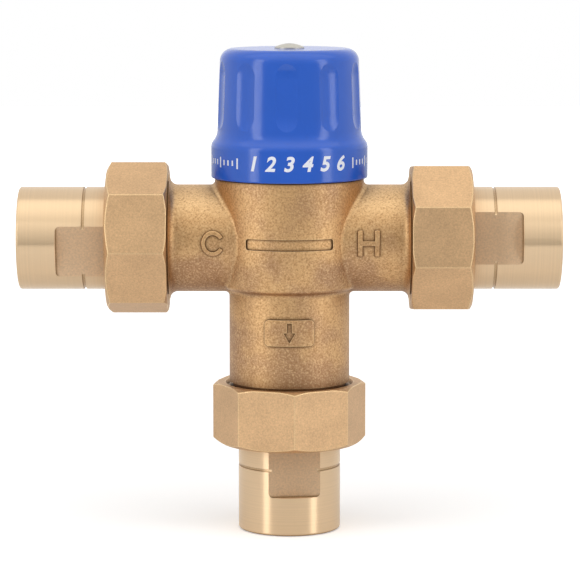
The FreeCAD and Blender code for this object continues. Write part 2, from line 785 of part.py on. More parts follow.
def cap():
    body = new_body("cap")
    body.Placement = Placement(Vector(0, 0, 0), Rotation(Vector(0, 0, 1), size("cap_turn")))
    shoulder = ogee(("rim_radius", "rim_top"), ("skirt_foot_radius", "skirt_foot"),
                    "shoulder_share", ("left", "right"))
    inner_crown = "(cap_crown - cap_wall)"
    turned(body, "CapShell", [
        ("rim_inner", "rim_low"), ("rim_radius - rim_edge", "rim_low"),
        ("rim_radius", "rim_low + rim_edge", "rim_edge", "left"), ("rim_radius", "rim_top"),
    ] + shoulder + [
        ("skirt_top_radius", "cap_crown_low"),
        ("skirt_top_radius - cap_crown", "cap_top", "cap_crown", "left"),
        ("screw_hole", "cap_top"), ("screw_hole", "cap_boss_foot"),
        ("cap_boss_radius", "cap_boss_foot"), ("cap_boss_radius", "cap_ceiling"),
        ("skirt_top_radius - cap_crown", "cap_ceiling"),
        ("skirt_top_radius - cap_wall", "cap_ceiling - " + inner_crown, inner_crown, "right"),
        ("skirt_foot_radius - cap_wall", "skirt_foot"),
        ("rim_inner", "rim_top - cap_wall / 2"),
    ])

    flute = body.newObject("Sketcher::SketchObject", "FluteSection")
    flute.AttachmentSupport = [(plane_of(body, "XZ_Plane"), "")]
    flute.MapMode = "FlatFace"
    flute.AttachmentOffset = Placement(Vector(0, 0, 0),
                                       Rotation(Vector(0, 0, 1), size("skirt_lean")))
    bind(flute, "AttachmentOffset.Base.x", "skirt_middle")
    bind(flute, "AttachmentOffset.Base.y", "(flute_low + flute_high) / 2")
    outline(flute, [
        ("flute_axis", "flute_half + flute_radius"),
        ("-flute_depth", "flute_half", "flute_radius", "left"), ("-flute_depth", "-flute_half"),
        ("flute_axis", "-flute_half - flute_radius", "flute_radius", "left"),
    ])
    hollow = body.newObject("PartDesign::Groove", "Flute")
    hollow.Profile = flute
    hollow.ReferenceAxis = (flute, ["Edge1"])
    hollow.Angle = FULL_TURN
    around(body, hollow, "flute_count")

    rib = new_sketch(body, "RibOutline", "XY_Plane", offset="rib_low")
    outline(rib, [("rib_reach", "-rib_width / 2"), ("rim_radius - cap_wall / 2", "-rib_width / 2"),
                  ("rim_radius - cap_wall / 2", "rib_width / 2"), ("rib_reach", "rib_width / 2")])
    around(body, extruded(body, "Rib", rib, "rib_high - rib_low"), "rib_count")

    gusset = new_sketch(body, "GussetOutline", "XY_Plane", offset="cap_ceiling - gusset_depth")
    inner, outer = "screw_hole + cap_wall / 2", "skirt_top_radius - cap_wall / 2"
    outline(gusset, [(inner, "-gusset_width / 2"), (outer, "-gusset_width / 2"),
                     (outer, "gusset_width / 2"), (inner, "gusset_width / 2")])
    around(body, extruded(body, "Gusset", gusset, "gusset_depth + cap_roof / 2"), "gusset_count")
    bind(body, "Placement.Base.z", "arm_height")


def cap_screw():
    body = new_body("cap_screw")
    dome = "(pow(screw_head_radius; 2) + pow(screw_crown; 2)) / (2 * screw_crown)"
    turned(body, "ScrewTurning", [
        ("0", "screw_foot"), ("screw_radius - screw_head_edge", "screw_foot"),
        ("screw_radius", "screw_foot + screw_head_edge"), ("screw_radius", "cap_top"),
        ("screw_head_radius", "cap_top"), ("screw_head_radius", "cap_top + screw_head_edge"),
        ("0", "cap_top + screw_head_height", dome, "left"),
    ])
    key = new_sketch(body, "ScrewKeyOutline", "XY_Plane", offset="cap_top + screw_head_height")
    corner = "screw_key_across / 2 / cos(30)"
    outline(key, [(corner + " * cos(%d * 60)" % k, corner + " * sin(%d * 60)" % k)
                  for k in range(6)])
    extruded(body, "ScrewKey", key, "screw_key_depth", cut=True)


# ---------------------------------------------------------------- bonnet and spindle

def bonnet():
    body = new_body("bonnet")
    groove = "bonnet_seal_wire + seal_groove_play / 2"
    low, high = "bonnet_seal_height - (%s)" % groove, "bonnet_seal_height + %s" % groove
    turned(body, "BonnetTurning", [
        ("0", "bonnet_foot"), ("bonnet_radius", "bonnet_foot"), ("bonnet_radius", low),
        ("bonnet_seal_groove", low), ("bonnet_seal_groove", high), ("bonnet_radius", high),
        ("bonnet_radius", "neck_top"), ("bonnet_flange_radius", "neck_top"),
        ("bonnet_flange_radius", "bonnet_flange_top"),
        ("bonnet_boss_radius", "bonnet_flange_top"), ("bonnet_boss_radius", "bonnet_boss_top"),
        ("0", "bonnet_boss_top"),
    ])
    prism(body, "BonnetHex", "6", "bonnet_hex_across", "bonnet_flange_top", "bonnet_hex_height")
    corner = "bonnet_hex_across / 2 / cos(30) + 1"
    face = "bonnet_hex_across / 2"
    turned(body, "BonnetHexBevel", [
        (face, "bonnet_hex_top"), (corner, "bonnet_hex_top"),
        (corner, "bonnet_hex_top - (%s - (%s)) * tan(30)" % (corner, face)),
    ], cut=True)
    turned(body, "BonnetBore", [
        ("0", "bonnet_foot"), ("bonnet_bore", "bonnet_foot"), ("bonnet_bore", "bonnet_bore_roof"),
        ("collar_pocket_radius", "bonnet_bore_roof"), ("collar_pocket_radius", "bonnet_hex_top"),
        ("stem_bore", "bonnet_hex_top"), ("stem_bore", "bonnet_boss_top"),
        ("0", "bonnet_boss_top"),
    ], cut=True)
    key = new_sketch(body, "KeywayOutline", "XY_Plane", offset="bonnet_foot")
    half = "(key_width + key_play) / 2"
    inner, outer = "bonnet_bore - key_width / 2", "key_reach + key_play"
    outline(key, [(inner, "-" + half), (outer, "-" + half), (outer, half), (inner, half)])
    keyway = extruded(body, "Keyway", key, "bonnet_bore_roof - bonnet_foot", cut=True,
                      backwards=True)
    around(body, keyway, "key_count")
    o_ring("bonnet_seal", "bonnet_seal_groove + bonnet_seal_wire", "bonnet_seal_wire",
           "bonnet_seal_height")


def spindle():
    body = new_body("spindle")
    points = [
        ("0", "spindle_foot"), ("spindle_thread_radius - spindle_edge", "spindle_foot"),
        ("spindle_thread_radius", "spindle_foot + spindle_edge"),
        ("spindle_thread_radius", "collar_low"), ("collar_radius", "collar_low"),
        ("collar_radius", "collar_high"), ("stem_radius", "collar_high"),
    ]
    half = "(stem_seal_wire + seal_groove_play / 2)"
    floor = "stem_bore - 2 * stem_seal_wire - slip"
    for height in ("stem_seal_low", "stem_seal_high"):
        low, high = "%s - %s" % (height, half), "%s + %s" % (height, half)
        points += [("stem_radius", low), (floor, low), (floor, high), ("stem_radius", high)]
    points += [
        ("stem_radius", "bonnet_boss_top"), ("clip_groove", "bonnet_boss_top"),
        ("clip_groove", "clip_high + face_gap"), ("stem_radius", "clip_high + face_gap"),
        ("stem_radius", "spindle_top - spindle_edge"),
        ("stem_radius - spindle_edge", "spindle_top"),
        ("tapped_hole", "spindle_top"), ("tapped_hole", "spindle_top - tapped_hole_depth"),
        ("0", "spindle_top - tapped_hole_depth - tapped_hole / 2"),
    ]
    turned(body, "SpindleTurning", points)
    flat = new_sketch(body, "SpindleFlatOutline", "XY_Plane", offset="spindle_top")
    near, far = "spindle_key_across / 2", "(stem_radius + spindle_edge)"
    outline(flat, [(near, "-" + far), (far, "-" + far), (far, far), (near, far)])
    around(body, extruded(body, "SpindleFlat", flat, "spindle_key_length", cut=True), "4")

    ring = floor + " + stem_seal_wire"
    o_ring("spindle_seal_lower", ring, "stem_seal_wire", "stem_seal_low")
    o_ring("spindle_seal_upper", ring, "stem_seal_wire", "stem_seal_high")
    split_ring("spindle_clip", "clip_groove + slip", "clip_groove + slip + clip_reach + clip_bite",
               "clip_low", "clip_thickness", "clip_opening")


# ---------------------------------------------------------------- plunger and overload spring

def plunger():
    body = new_body("plunger")
    groove = "plunger_chamber + cup_clip_bite + slip"
    turned(body, "PlungerTurning", [
        ("plunger_chamber", "plunger_foot"), ("plunger_radius", "plunger_foot"),
        ("plunger_radius", "plunger_top"), ("plunger_thread", "plunger_top"),
        ("plunger_thread", "plunger_roof"), ("plunger_chamber", "plunger_roof"),
        ("plunger_chamber", "cup_foot + face_gap"), (groove, "cup_foot + face_gap"),
        (groove, "cup_clip_low - face_gap"), ("plunger_chamber", "cup_clip_low - face_gap"),
    ])
    key = new_sketch(body, "KeyOutline", "XY_Plane", offset="plunger_key_low")
    inner, half = "plunger_radius - (bonnet_bore - plunger_chamber) / 4", "key_width / 2"
    outline(key, [(inner, "-" + half), ("key_reach", "-" + half), ("key_reach", half),
                  (inner, half)])
    around(body, extruded(body, "Key", key, "plunger_key_high - plunger_key_low"), "key_count")

    cup = new_body("spring_cup")
    turned(cup, "CupTurning", [
        ("pin_hole", "cup_foot"), ("cup_radius", "cup_foot"),
        ("cup_radius", "cup_foot + cup_flange"), ("cup_guide_radius", "cup_foot + cup_flange"),
        ("cup_guide_radius", "cup_top - spindle_edge"),
        ("cup_guide_radius - spindle_edge", "cup_top"), ("0", "cup_top"),
        ("0", "cup_pocket_roof"), ("pin_hole", "cup_pocket_roof"),
    ])
    split_ring("cup_clip", "plunger_chamber - cup_clip_reach", "plunger_chamber + cup_clip_bite",
               "cup_clip_low", "cup_clip_thickness", "clip_opening")
    spring("overload_spring", "overload_radius", "overload_wire", "cup_foot + cup_flange",
           "plunger_roof", "overload_turns")
    pin = doc.addObject("Part::Cylinder", "element_pin")
    bind(pin, "Radius", "pin_radius")
    bind(pin, "Height", "cup_pocket_roof - pin_foot")
    bind(pin, "Placement.Base.z", "arm_height + pin_foot")
    nodes.append(pin)


# ---------------------------------------------------------------- regulator

def regulator():
    body = new_body("shuttle")
    groove = "shuttle_radius - shuttle_seal_depth"
    edge = "(shuttle_seal_half + face_gap)"
    turned(body, "ShuttleTurning", [
        ("shuttle_bore", "shuttle_foot"), ("shuttle_radius - shuttle_bevel", "shuttle_foot"),
        ("shuttle_radius", "shuttle_foot + shuttle_bevel"), ("shuttle_radius", "-" + edge),
        (groove, "-" + edge), (groove, edge), ("shuttle_radius", edge),
        ("shuttle_radius", "shuttle_top - shuttle_bevel"),
        ("shuttle_radius - shuttle_bevel", "shuttle_top"), ("shuttle_bore", "shuttle_top"),
        ("shuttle_bore", "web_half"), ("hub_radius", "web_half"), ("hub_radius", "hub_top"),
        ("guide_bore", "hub_top"), ("guide_bore", "-web_half"), ("shuttle_bore", "-web_half"),
    ])
    hole = new_sketch(body, "FlowHoleOutline", "XY_Plane")
    circle_at(hole, "flow_hole_circle", "0", "flow_hole_radius")
    first = extruded(body, "FlowHole", hole, "4 * web_half", cut=True, both=True)
    around(body, first, "flow_hole_count")

    seal = new_body("shuttle_seal")
    lip, half = "land_radius - slip", "shuttle_seal_half"
    turned(seal, "ShuttleSealTurning", [
        (groove + " + slip", "-" + half), (lip + " - slip * 4", "-" + half),
        (lip, "-%s / 2" % half), (lip, half + " / 2"), (lip + " - slip * 4", half),
        (groove + " + slip", half),
    ])

    element = new_body("wax_element")
    neck = "guide_radius - neck_clip_bite"
    clip_low, clip_high = "hub_top", "hub_top + neck_clip_thickness + face_gap"
    turned(element, "ElementTurning", [
        ("0", "bulb_foot"), ("bulb_radius - bulb_rounding", "bulb_foot"),
        ("bulb_radius", "bulb_foot + bulb_rounding", "bulb_rounding", "left"),
        ("bulb_radius", "-web_half - crimp_height"), ("crimp_radius", "-web_half - crimp_height"),
        ("crimp_radius", "-web_half"), ("guide_radius", "-web_half"),
        ("guide_radius", clip_low), (neck, clip_low), (neck, clip_high),
        ("guide_radius", clip_high), ("guide_radius", "guide_top"), ("pin_hole", "guide_top"),
        ("pin_hole", "guide_hole_floor"), ("0", "guide_hole_floor"),
    ])
    split_ring("element_clip", neck + " + slip", "guide_radius + neck_clip_reach", "hub_top",
               "neck_clip_thickness", "clip_opening")
    spring("return_spring", "return_radius", "return_wire", "-ledge_drop", "-web_half",
           "return_turns")


# ---------------------------------------------------------------- inlet cartridges

def check_cartridge(port, place):
    """Check valve and strainer of one inlet, in its port frame."""
    cage = new_body(port + "_check_cage", place)
    half = "(cage_seal_wire + seal_groove_play / 2)"
    groove = "cartridge_bore - 2 * cage_seal_wire - slip"
    seal_out, seal_in = "%s - cage_seal_depth" % half, "-%s - cage_seal_depth" % half
    turned(cage, "CageTurning" + port, [
        ("cage_mouth", "0"), ("cage_rim_radius", "0"), ("cage_rim_radius", "-cage_rim_thickness"),
        ("cartridge_radius", "-cage_rim_thickness"), ("cartridge_radius", seal_out),
        (groove, seal_out), (groove, seal_in), ("cartridge_radius", seal_in),
        ("cartridge_radius", "-cartridge_length"), ("cage_chamber", "-cartridge_length"),
        ("cage_chamber", "-seat_depth"), ("throat_radius", "-seat_depth"),
        ("throat_radius", "-throat_start"), ("cage_mouth", "-cage_mouth_depth"),
    ])

    spider = new_body(port + "_check_spider", place)
    rim, stem = "cage_chamber - slip", "poppet_stem_radius + slip"
    turned(spider, "SpiderTurning" + port, [
        (stem, "-cartridge_length"), (rim, "-cartridge_length"), (rim, "-spider_top"),
        ("spider_hub_radius", "-spider_top"), ("spider_hub_radius", "-spider_hub_top"),
        (stem, "-spider_hub_top"),
    ])
    hole = new_sketch(spider, "SpiderHoleOutline" + port, "XY_Plane", offset="-cartridge_length")
    circle_at(hole, "spider_hole_circle", "0", "spider_hole_radius")
    first = extruded(spider, "SpiderHole" + port, hole, "spider_thickness", cut=True,
                     backwards=True)
    around(spider, first, "spider_hole_count")

    poppet = new_body(port + "_poppet", place)
    nose = "(pow(poppet_nose_radius; 2) + pow(poppet_nose_rise; 2)) / (2 * poppet_nose_rise)"
    turned(poppet, "PoppetTurning" + port, [
        ("0", "-poppet_stem_end"), ("poppet_stem_radius", "-poppet_stem_end"),
        ("poppet_stem_radius", "-poppet_back"), ("poppet_radius", "-poppet_back"),
        ("poppet_radius", "-seal_floor"), ("poppet_nose_radius", "-seal_floor"),
        ("0", "poppet_nose_rise - seal_floor", nose, "left"),
    ])
    seal = new_body(port + "_poppet_seal", place)
    inner = "poppet_nose_radius + slip"
    turned(seal, "PoppetSealTurning" + port, [
        (inner, "-seal_floor"), ("poppet_radius", "-seal_floor"),
        ("poppet_radius", "-seat_depth"), (inner, "-seat_depth"),
    ])
    spring(port + "_check_spring", "check_radius", "check_wire", "-spider_hub_top",
           "-poppet_back", "check_turns", place)

    strainer = new_body(port + "_strainer", place)
    turned(strainer, "StrainerTurning" + port, [
        ("strainer_inner", "0"), ("strainer_rim_radius", "0"),
        ("strainer_rim_radius", "strainer_rim_thickness"),
        ("strainer_radius", "strainer_rim_thickness"), ("strainer_radius", "strainer_side"),
        ("0", "strainer_top", "strainer_dome", "left"), ("0", "strainer_top - strainer_wall"),
        ("strainer_inner", "strainer_inner_side", "strainer_dome - strainer_wall", "right"),
    ])
    slot = new_sketch(strainer, "StrainerSlotOutline" + port, "YZ_Plane")
    side = "strainer_slot_width / 2"
    rounded_rectangle(slot, "-" + side, side, "strainer_slot_low", "strainer_slot_high",
                      "strainer_slot_width / 4")
    first = extruded(strainer, "StrainerSlot" + port, slot, "strainer_radius + strainer_wall",
                     cut=True, backwards=True)
    around(strainer, first, "strainer_slot_count")

    lift = place.multiply(Placement(Vector(0, 0, -size("cage_seal_depth")), Rotation()))
    o_ring(port + "_cage_seal", groove + " + cage_seal_wire", "cage_seal_wire", "0", lift)


# ---------------------------------------------------------------- unions

def gasket(port, place):
    body = new_body(port + "_gasket", place)
    turned(body, "GasketSection" + port, [
        ("gasket_bore", "0"), ("gasket_radius", "0"), ("gasket_radius", "gasket_thickness"),
        ("gasket_bore", "gasket_thickness"),
    ])


def tail(port, place):
    """Solder tailpiece: flange, waterway, tube socket, one groove and two wrench flats."""
    body = new_body(port + "_tail", place)
    turned(body, "TailTurning" + port, [
        ("waterway_radius", "gasket_thickness"), ("flange_radius", "gasket_thickness"),
        ("flange_radius", "flange_end"), ("tail_radius", "flange_end"),
        ("tail_radius", "groove_low"), ("tail_radius - groove_depth", "groove_low"),
        ("tail_radius - groove_depth", "groove_high"), ("tail_radius", "groove_high"),
        ("tail_radius", "tail_end - tail_edge"),
        ("tail_radius - tail_edge", "tail_end", "tail_edge", "left"),
        ("socket_radius + socket_lead_in", "tail_end"),
        ("socket_radius", "tail_end - socket_lead_in"), ("socket_radius", "socket_floor"),
        ("waterway_radius", "socket_floor"),
    ])
    flat = new_sketch(body, "FlatOutline" + port, "YZ_Plane", offset="tail_radius + tail_edge")
    rounded_rectangle(flat, "-sqrt(pow(tail_radius; 2) - pow(flat_distance; 2))",
                      "sqrt(pow(tail_radius; 2) - pow(flat_distance; 2))",
                      "flat_low", "flat_high", "flat_corner")
    first = extruded(body, "Flat" + port, flat, "tail_radius + tail_edge - flat_distance",
                     cut=True)
    around(body, first, "flat_count")


def nut(port, place):
    """Eight-sided union nut, bevelled at both ends, threaded inside, with a lip."""
    body = new_body(port + "_nut", place)
    prism(body, "NutPrism" + port, "nut_sides", "nut_across", "-nut_reach",
          "nut_end + nut_reach")
    corner = "(nut_corner + 1)"
    for name, face, end, sign in (("NutOuterBevel", "nut_outer_face_radius", "nut_end", "-"),
                                  ("NutInnerBevel", "nut_inner_face_radius", "-nut_reach", "+")):
        slope = "(%s - %s) * tan(nut_bevel)" % (corner, face)
        turned(body, name + port, [(face, end), (corner, end),
                                   (corner, "%s %s %s" % (end, sign, slope))], cut=True)
    points = [("0", "-nut_reach"), ("nut_bore + nut_mouth", "-nut_reach"),
              ("nut_bore", "nut_mouth - nut_reach")]
    for turn in reversed(range(int(size("thread_turns")))):
        root = "-thread_lead_in - (%d + thread_start) * thread_pitch" % turn
        points += [("nut_bore", root + " - thread_flank"),
                   ("nut_bore + thread_depth", root),
                   ("nut_bore", root + " + thread_flank")]
    points += [("nut_bore", "nut_shoulder"), ("nut_hole", "nut_shoulder"),
               ("nut_hole", "nut_end"), ("0", "nut_end")]
    turned(body, "NutBore" + port, points, cut=True)


def port_place(origin, outward, turn):
    """The port frame: Z out of the port, X to the front, then turned about Z."""
    upright = outward.cross(FRONT)
    facing = Rotation(FRONT, upright, outward, "ZXY")
    return Placement(origin, facing.multiply(Rotation(Vector(0, 0, 1), size(turn))))


def unions():
    height = size("arm_height")
    inlet = size("inlet_face")
    ports = {
        "cold": (Vector(-inlet, 0, height), Vector(-1, 0, 0)),
        "hot": (Vector(inlet, 0, height), Vector(1, 0, 0)),
        "outlet": (Vector(0, 0, size("tail_end")), Vector(0, 0, -1)),
    }
    for port, (origin, outward) in ports.items():
        if port != "outlet":
            check_cartridge(port, port_place(origin, outward, port + "_tail_turn"))
        gasket(port, port_place(origin, outward, port + "_tail_turn"))
        tail(port, port_place(origin, outward, port + "_tail_turn"))
        nut(port, port_place(origin, outward, port + "_nut_turn"))


# ---------------------------------------------------------------- build and export

valve_body()
cap()
cap_screw()
bonnet()
spindle()
plunger()
regulator()
unions()
doc.recompute()

for item in doc.Objects:
    if "Invalid" in item.State or "Error" in item.State:
        raise RuntimeError("%s failed: %s" % (item.Label, item.State))
for node in nodes:
    if node.Shape.isNull() or not node.Shape.isValid() or node.Shape.Volume <= 0:
        raise RuntimeError("%s has no valid solid" % node.Label)

os.makedirs("parts", exist_ok=True)
for node in nodes:
    node.Shape.exportStep("parts/%s.step" % node.Label)
    print("%-22s %10.1f mm3" % (node.Label, node.Shape.Volume))
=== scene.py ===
"""Dresses the three-way mixing valve: cast body, blue cap, union nuts and solder tails."""

import math

import bmesh
import bpy
from mathutils import Matrix, Vector


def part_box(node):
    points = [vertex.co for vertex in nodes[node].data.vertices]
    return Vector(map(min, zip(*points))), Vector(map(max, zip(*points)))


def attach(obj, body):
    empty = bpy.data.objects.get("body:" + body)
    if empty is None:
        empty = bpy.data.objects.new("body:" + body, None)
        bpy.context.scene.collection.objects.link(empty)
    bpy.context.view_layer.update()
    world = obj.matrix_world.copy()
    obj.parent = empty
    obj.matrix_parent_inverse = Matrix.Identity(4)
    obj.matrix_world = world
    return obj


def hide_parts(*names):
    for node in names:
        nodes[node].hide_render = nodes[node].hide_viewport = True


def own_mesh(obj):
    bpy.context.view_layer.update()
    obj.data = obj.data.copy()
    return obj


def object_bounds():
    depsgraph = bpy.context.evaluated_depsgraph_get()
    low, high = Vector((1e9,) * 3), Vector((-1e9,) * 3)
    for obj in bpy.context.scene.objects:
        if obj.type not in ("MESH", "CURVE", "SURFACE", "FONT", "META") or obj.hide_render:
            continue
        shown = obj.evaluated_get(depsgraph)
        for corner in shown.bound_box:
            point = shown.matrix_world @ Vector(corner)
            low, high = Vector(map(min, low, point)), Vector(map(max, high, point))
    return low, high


bl_info = {
    "name": "Mixing Valve Finish",
    "version": (1, 0, 0),
    "blender": (4, 5, 0),
    "location": "View3D > Sidebar > Valve",
    "description": "Materials, cast letters, cap scale and studio for a mixing valve",
    "category": "Material",
}

MM = 0.001

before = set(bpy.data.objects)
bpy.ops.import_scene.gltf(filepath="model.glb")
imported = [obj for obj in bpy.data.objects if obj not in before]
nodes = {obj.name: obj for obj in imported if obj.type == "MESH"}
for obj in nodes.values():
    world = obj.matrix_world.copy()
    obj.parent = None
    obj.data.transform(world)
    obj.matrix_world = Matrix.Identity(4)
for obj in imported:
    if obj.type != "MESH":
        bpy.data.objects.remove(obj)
cad_low, cad_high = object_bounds()

PORTS = ("cold", "hot", "outlet")
INLETS = ("cold", "hot")


def linear(code):
    """Turns an sRGB hex colour into a linear colour with full alpha."""
    channels = [int(code[place:place + 2], 16) / 255 for place in (1, 3, 5)]
    return tuple(
        c / 12.92 if c <= 0.04045 else ((c + 0.055) / 1.055) ** 2.4 for c in channels
    ) + (1.0,)


# Inputs go by name or by number. Map Range: 0 is the value, 1 and 2 the span it comes from,
# 3 and 4 the span it goes to. Mix: 0 is the share, 2 and 3 are values, 6 and 7 colours.
def add(tree, kind, inputs=None, **settings):
    """Adds one node: settings are its own choices, an input is a value or a linked socket."""
    node = tree.nodes.new(kind)
    for name, value in settings.items():
        setattr(node, name, value)
    for name, value in (inputs or {}).items():
        if isinstance(value, bpy.types.NodeSocket):
            tree.links.new(value, node.inputs[name])
        else:
            node.inputs[name].default_value = value
    return node


def new_finish(name, shader_inputs):
    """A new material, its node tree and its shader, with the shader's own sockets set."""
    material = bpy.data.materials.new(name)
    material.use_nodes = True
    tree = material.node_tree
    tree.nodes.clear()
    shader = add(tree, "ShaderNodeBsdfPrincipled", shader_inputs)
    add(tree, "ShaderNodeOutputMaterial", {"Surface": shader.outputs[0]})
    return material, tree, shader


def mottle(tree, shader, pattern, base, tones, span=(0, 1), rough=None, relief=None):
    """Lets one pattern darken and lighten a colour, and set the roughness and the relief."""
    tone = add(tree, "ShaderNodeMapRange", {0: pattern, 1: span[0], 2: span[1],
                                            3: tones[0], 4: tones[1]})
    tint = add(tree, "ShaderNodeMix", {0: 1.0, 6: base, 7: tone.outputs[0]},
               data_type="RGBA", blend_type="MULTIPLY")
    tree.links.new(tint.outputs[2], shader.inputs["Base Color"])
    if rough:
        gloss = add(tree, "ShaderNodeMapRange", {0: pattern, 3: rough[0], 4: rough[1]})
        tree.links.new(gloss.outputs[0], shader.inputs["Roughness"])
    if relief:
        bump = add(tree, "ShaderNodeBump", {"Strength": relief[0], "Distance": relief[1],
                                            "Height": pattern})
        tree.links.new(bump.outputs[0], shader.inputs["Normal"])


def wear(material, *names):
    """Gives these CAD nodes the material in place of the plain one that they came with."""
    for name in names:
        nodes[name].material_slots[0].material = material


def centre(node):
    """The middle of a CAD node's box at rest."""
    low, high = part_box(node)
    return (low + high) / 2


def colour(name, description, code):
    return bpy.props.FloatVectorProperty(
        name=name, description=description, size=4, subtype="COLOR", min=0, max=1,
        default=linear(code),
    )


def length(name, description, millimetres):
    return bpy.props.FloatProperty(
        name=name, description=description, unit="LENGTH", min=0, precision=5,
        default=millimetres * MM,
    )


def angle(name, description, degrees):
    return bpy.props.FloatProperty(
        name=name, description=description, subtype="ANGLE", default=math.radians(degrees),
    )


class StudioSettings(bpy.types.PropertyGroup):
    """The camera and the light."""

    view_distance: length("View distance", "From the camera to the point it looks at", 756.0)
    view_height: length("View height", "Height of the point the camera looks at", 64.9)
    view_shift: length("View side", "Side step of the point the camera looks at", 0.16)
    view_pitch: angle("View pitch", "How far the camera looks down", 7.35)
    focal_length: bpy.props.FloatProperty(
        name="Focal length", description="Lens of the camera", subtype="DISTANCE_CAMERA",
        default=173.8, min=1,
    )
    floor_colour: colour("Floor", "Pale floor under the valve", "#f6f6f6")
    floor_front: length("Floor front", "From the valve's axis to the floor's front edge", 390)
    floor_lift: bpy.props.FloatProperty(
        name="Floor lift", description="Glow of the floor beside the valve", default=0.32,
    )
    floor_gloss: bpy.props.FloatProperty(
        name="Floor gloss", description="Glow of the floor as the metal mirrors it",
        default=0.12,
    )
    hood_colour: colour("Hood", "Paper hood that only gloss sees", "#fffefa")
    hood_radius: length("Hood radius", "From the inlets' axis to the hood", 1300)
    hood_dim: bpy.props.FloatProperty(
        name="Hood dim", description="Brightness of the hood by the lens", default=0.33,
    )
    hood_bright: bpy.props.FloatProperty(
        name="Hood bright", description="What its top adds to that", default=0.7,
    )
    world_colour: colour("Background", "White behind the valve", "#ffffff")


class CastingSettings(bpy.types.PropertyGroup):
    """The sand-cast body and its raised letters."""

    metal: colour("Bronze", "Blasted bronze of the casting", "#d1a878")
    # This colour also paints highlights on the upward faces and, beside real burnish, on the
    # edges.
    bright: colour("Bright grain", "Burnished grains and edges, and painted highlights on edges and upward faces", "#e8c696")
    dull: colour("Dull grain", "Hollows between the grains", "#9b744c")
    # The stain colour also carries painted shade, laid more heavily on faces that point down.
    stain: colour("Stain", "Heat stain, and painted shade on the downward faces", "#a98466")
    # Painted shade: the colour that corners, the crooks by the nuts and the leg's foot darken
    # to.
    painted_shade: colour("Painted shade", "Painted shade in the corners and the crooks", "#6a4f37")
    grain: length("Grain", "Spacing of the sand grain", 0.5)
    lump: length("Lump", "Spacing of the casting's soft lumps", 5.0)
    patch: length("Patch", "Spacing of the heat stains", 13.0)
    letter_height: length("C height", "Height of the letter at the cold inlet", 6.8)
    letter_width: length("C width", "Width of the letter at the cold inlet", 6.1)
    letter_stroke: length("C stroke", "Width of its stroke", 1.15)
    letter_place: length("C place", "From the valve's axis to the letter's middle", 20.3)
    letter_opening: angle("C opening", "Angle left open on its right", 58.0)
    bar_letter_height: length("H height", "Height of the letter at the hot inlet", 7.0)
    bar_letter_width: length("H width", "Width of the letter at the hot inlet", 5.8)
    bar_letter_stroke: length("H stroke", "Width of its strokes", 1.3)
    bar_letter_place: length("H place", "From the valve's axis to the letter's middle", 21.0)
    relief: length("Relief", "How far the letters stand proud", 0.45)
    letter_edge: length("Edge", "Rounding of the letters' edges", 0.22)
    arm_radius: length("Arm radius", "Radius of the inlet arms that carry the letters", 14.4)


class CapSettings(bpy.types.PropertyGroup):
    """The moulded cap, its printed scale and its screw."""

    plastic: colour("Plastic", "Blue of the moulded cap", "#225cc6")
    ink: colour("Ink", "White of the printed scale", "#eef1fa")
    steel: colour("Screw", "Plated steel of the cap's screw", "#c9c5ba")
    numeral_height: length("Numeral height", "Height of the printed numbers", 3.9)
    numeral_pitch: length("Numeral pitch", "From one printed number to the next", 4.9)
    numeral_lean: bpy.props.FloatProperty(
        name="Lean", description="Slant of the printed numbers", default=0.22, min=0, max=1,
    )
    scale_centre: angle("Scale centre", "Where the numbers' middle stands round the rim", 6.0)
    scale_height: length("Scale height", "Height of the scale's middle above the floor", 100.4)
    tick_height: length("Tick height", "Height of the long marks beside the numbers", 2.8)
    tick_width: length("Tick width", "Width of each mark", 0.5)
    ink_thickness: length("Ink thickness", "How far the print stands proud", 0.03)


class BrassSettings(bpy.types.PropertyGroup):
    """The nuts, the tailpieces and the turned parts inside."""

    nut: colour("Nuts", "Tumbled brass of the union nuts", "#d4b087")
    nut_edge: colour("Nut edges", "Brass rubbed bright along the nuts' edges", "#f0d3a2")
    nut_grain: length("Nut grain", "Spacing of the tumbling marks", 0.45)
    tail: colour("Tails", "Turned brass of the tailpieces", "#e8cba6")
    flat: colour("Flats", "Forged skin left on the wrench flats", "#fadab5")
    # This colour is painted shade, laid into the tails' grooves and corners by occlusion.
    groove_shade: colour("Grooves", "Painted shade in the grooves and corners", "#8f6a38")
    flat_distance: length("Flat distance", "From a tail's axis to its wrench flats", 11.92)
    turning: length("Turning", "Spacing of the tool lines that show", 0.5)
    brass: colour("Inner brass", "Turned brass inside the valve", "#d9b878")


class InnerSettings(bpy.types.PropertyGroup):
    """The pieces that the casting hides."""

    rubber: colour("Rubber", "Black nitrile rings", "#1d1d1e")
    acetal: colour("Acetal", "White moulded check cartridges", "#e9e7df")
    polymer: colour("Polymer", "Black moulded shuttle", "#26272a")
    fibre: colour("Fibre", "Pressed fibre of the gaskets", "#6e7f6a")
    copper: colour("Copper", "Drawn copper of the sensing bulb", "#c98862")
    spring_steel: colour("Spring steel", "Stainless wire, clips and strainers", "#b9b9b6")


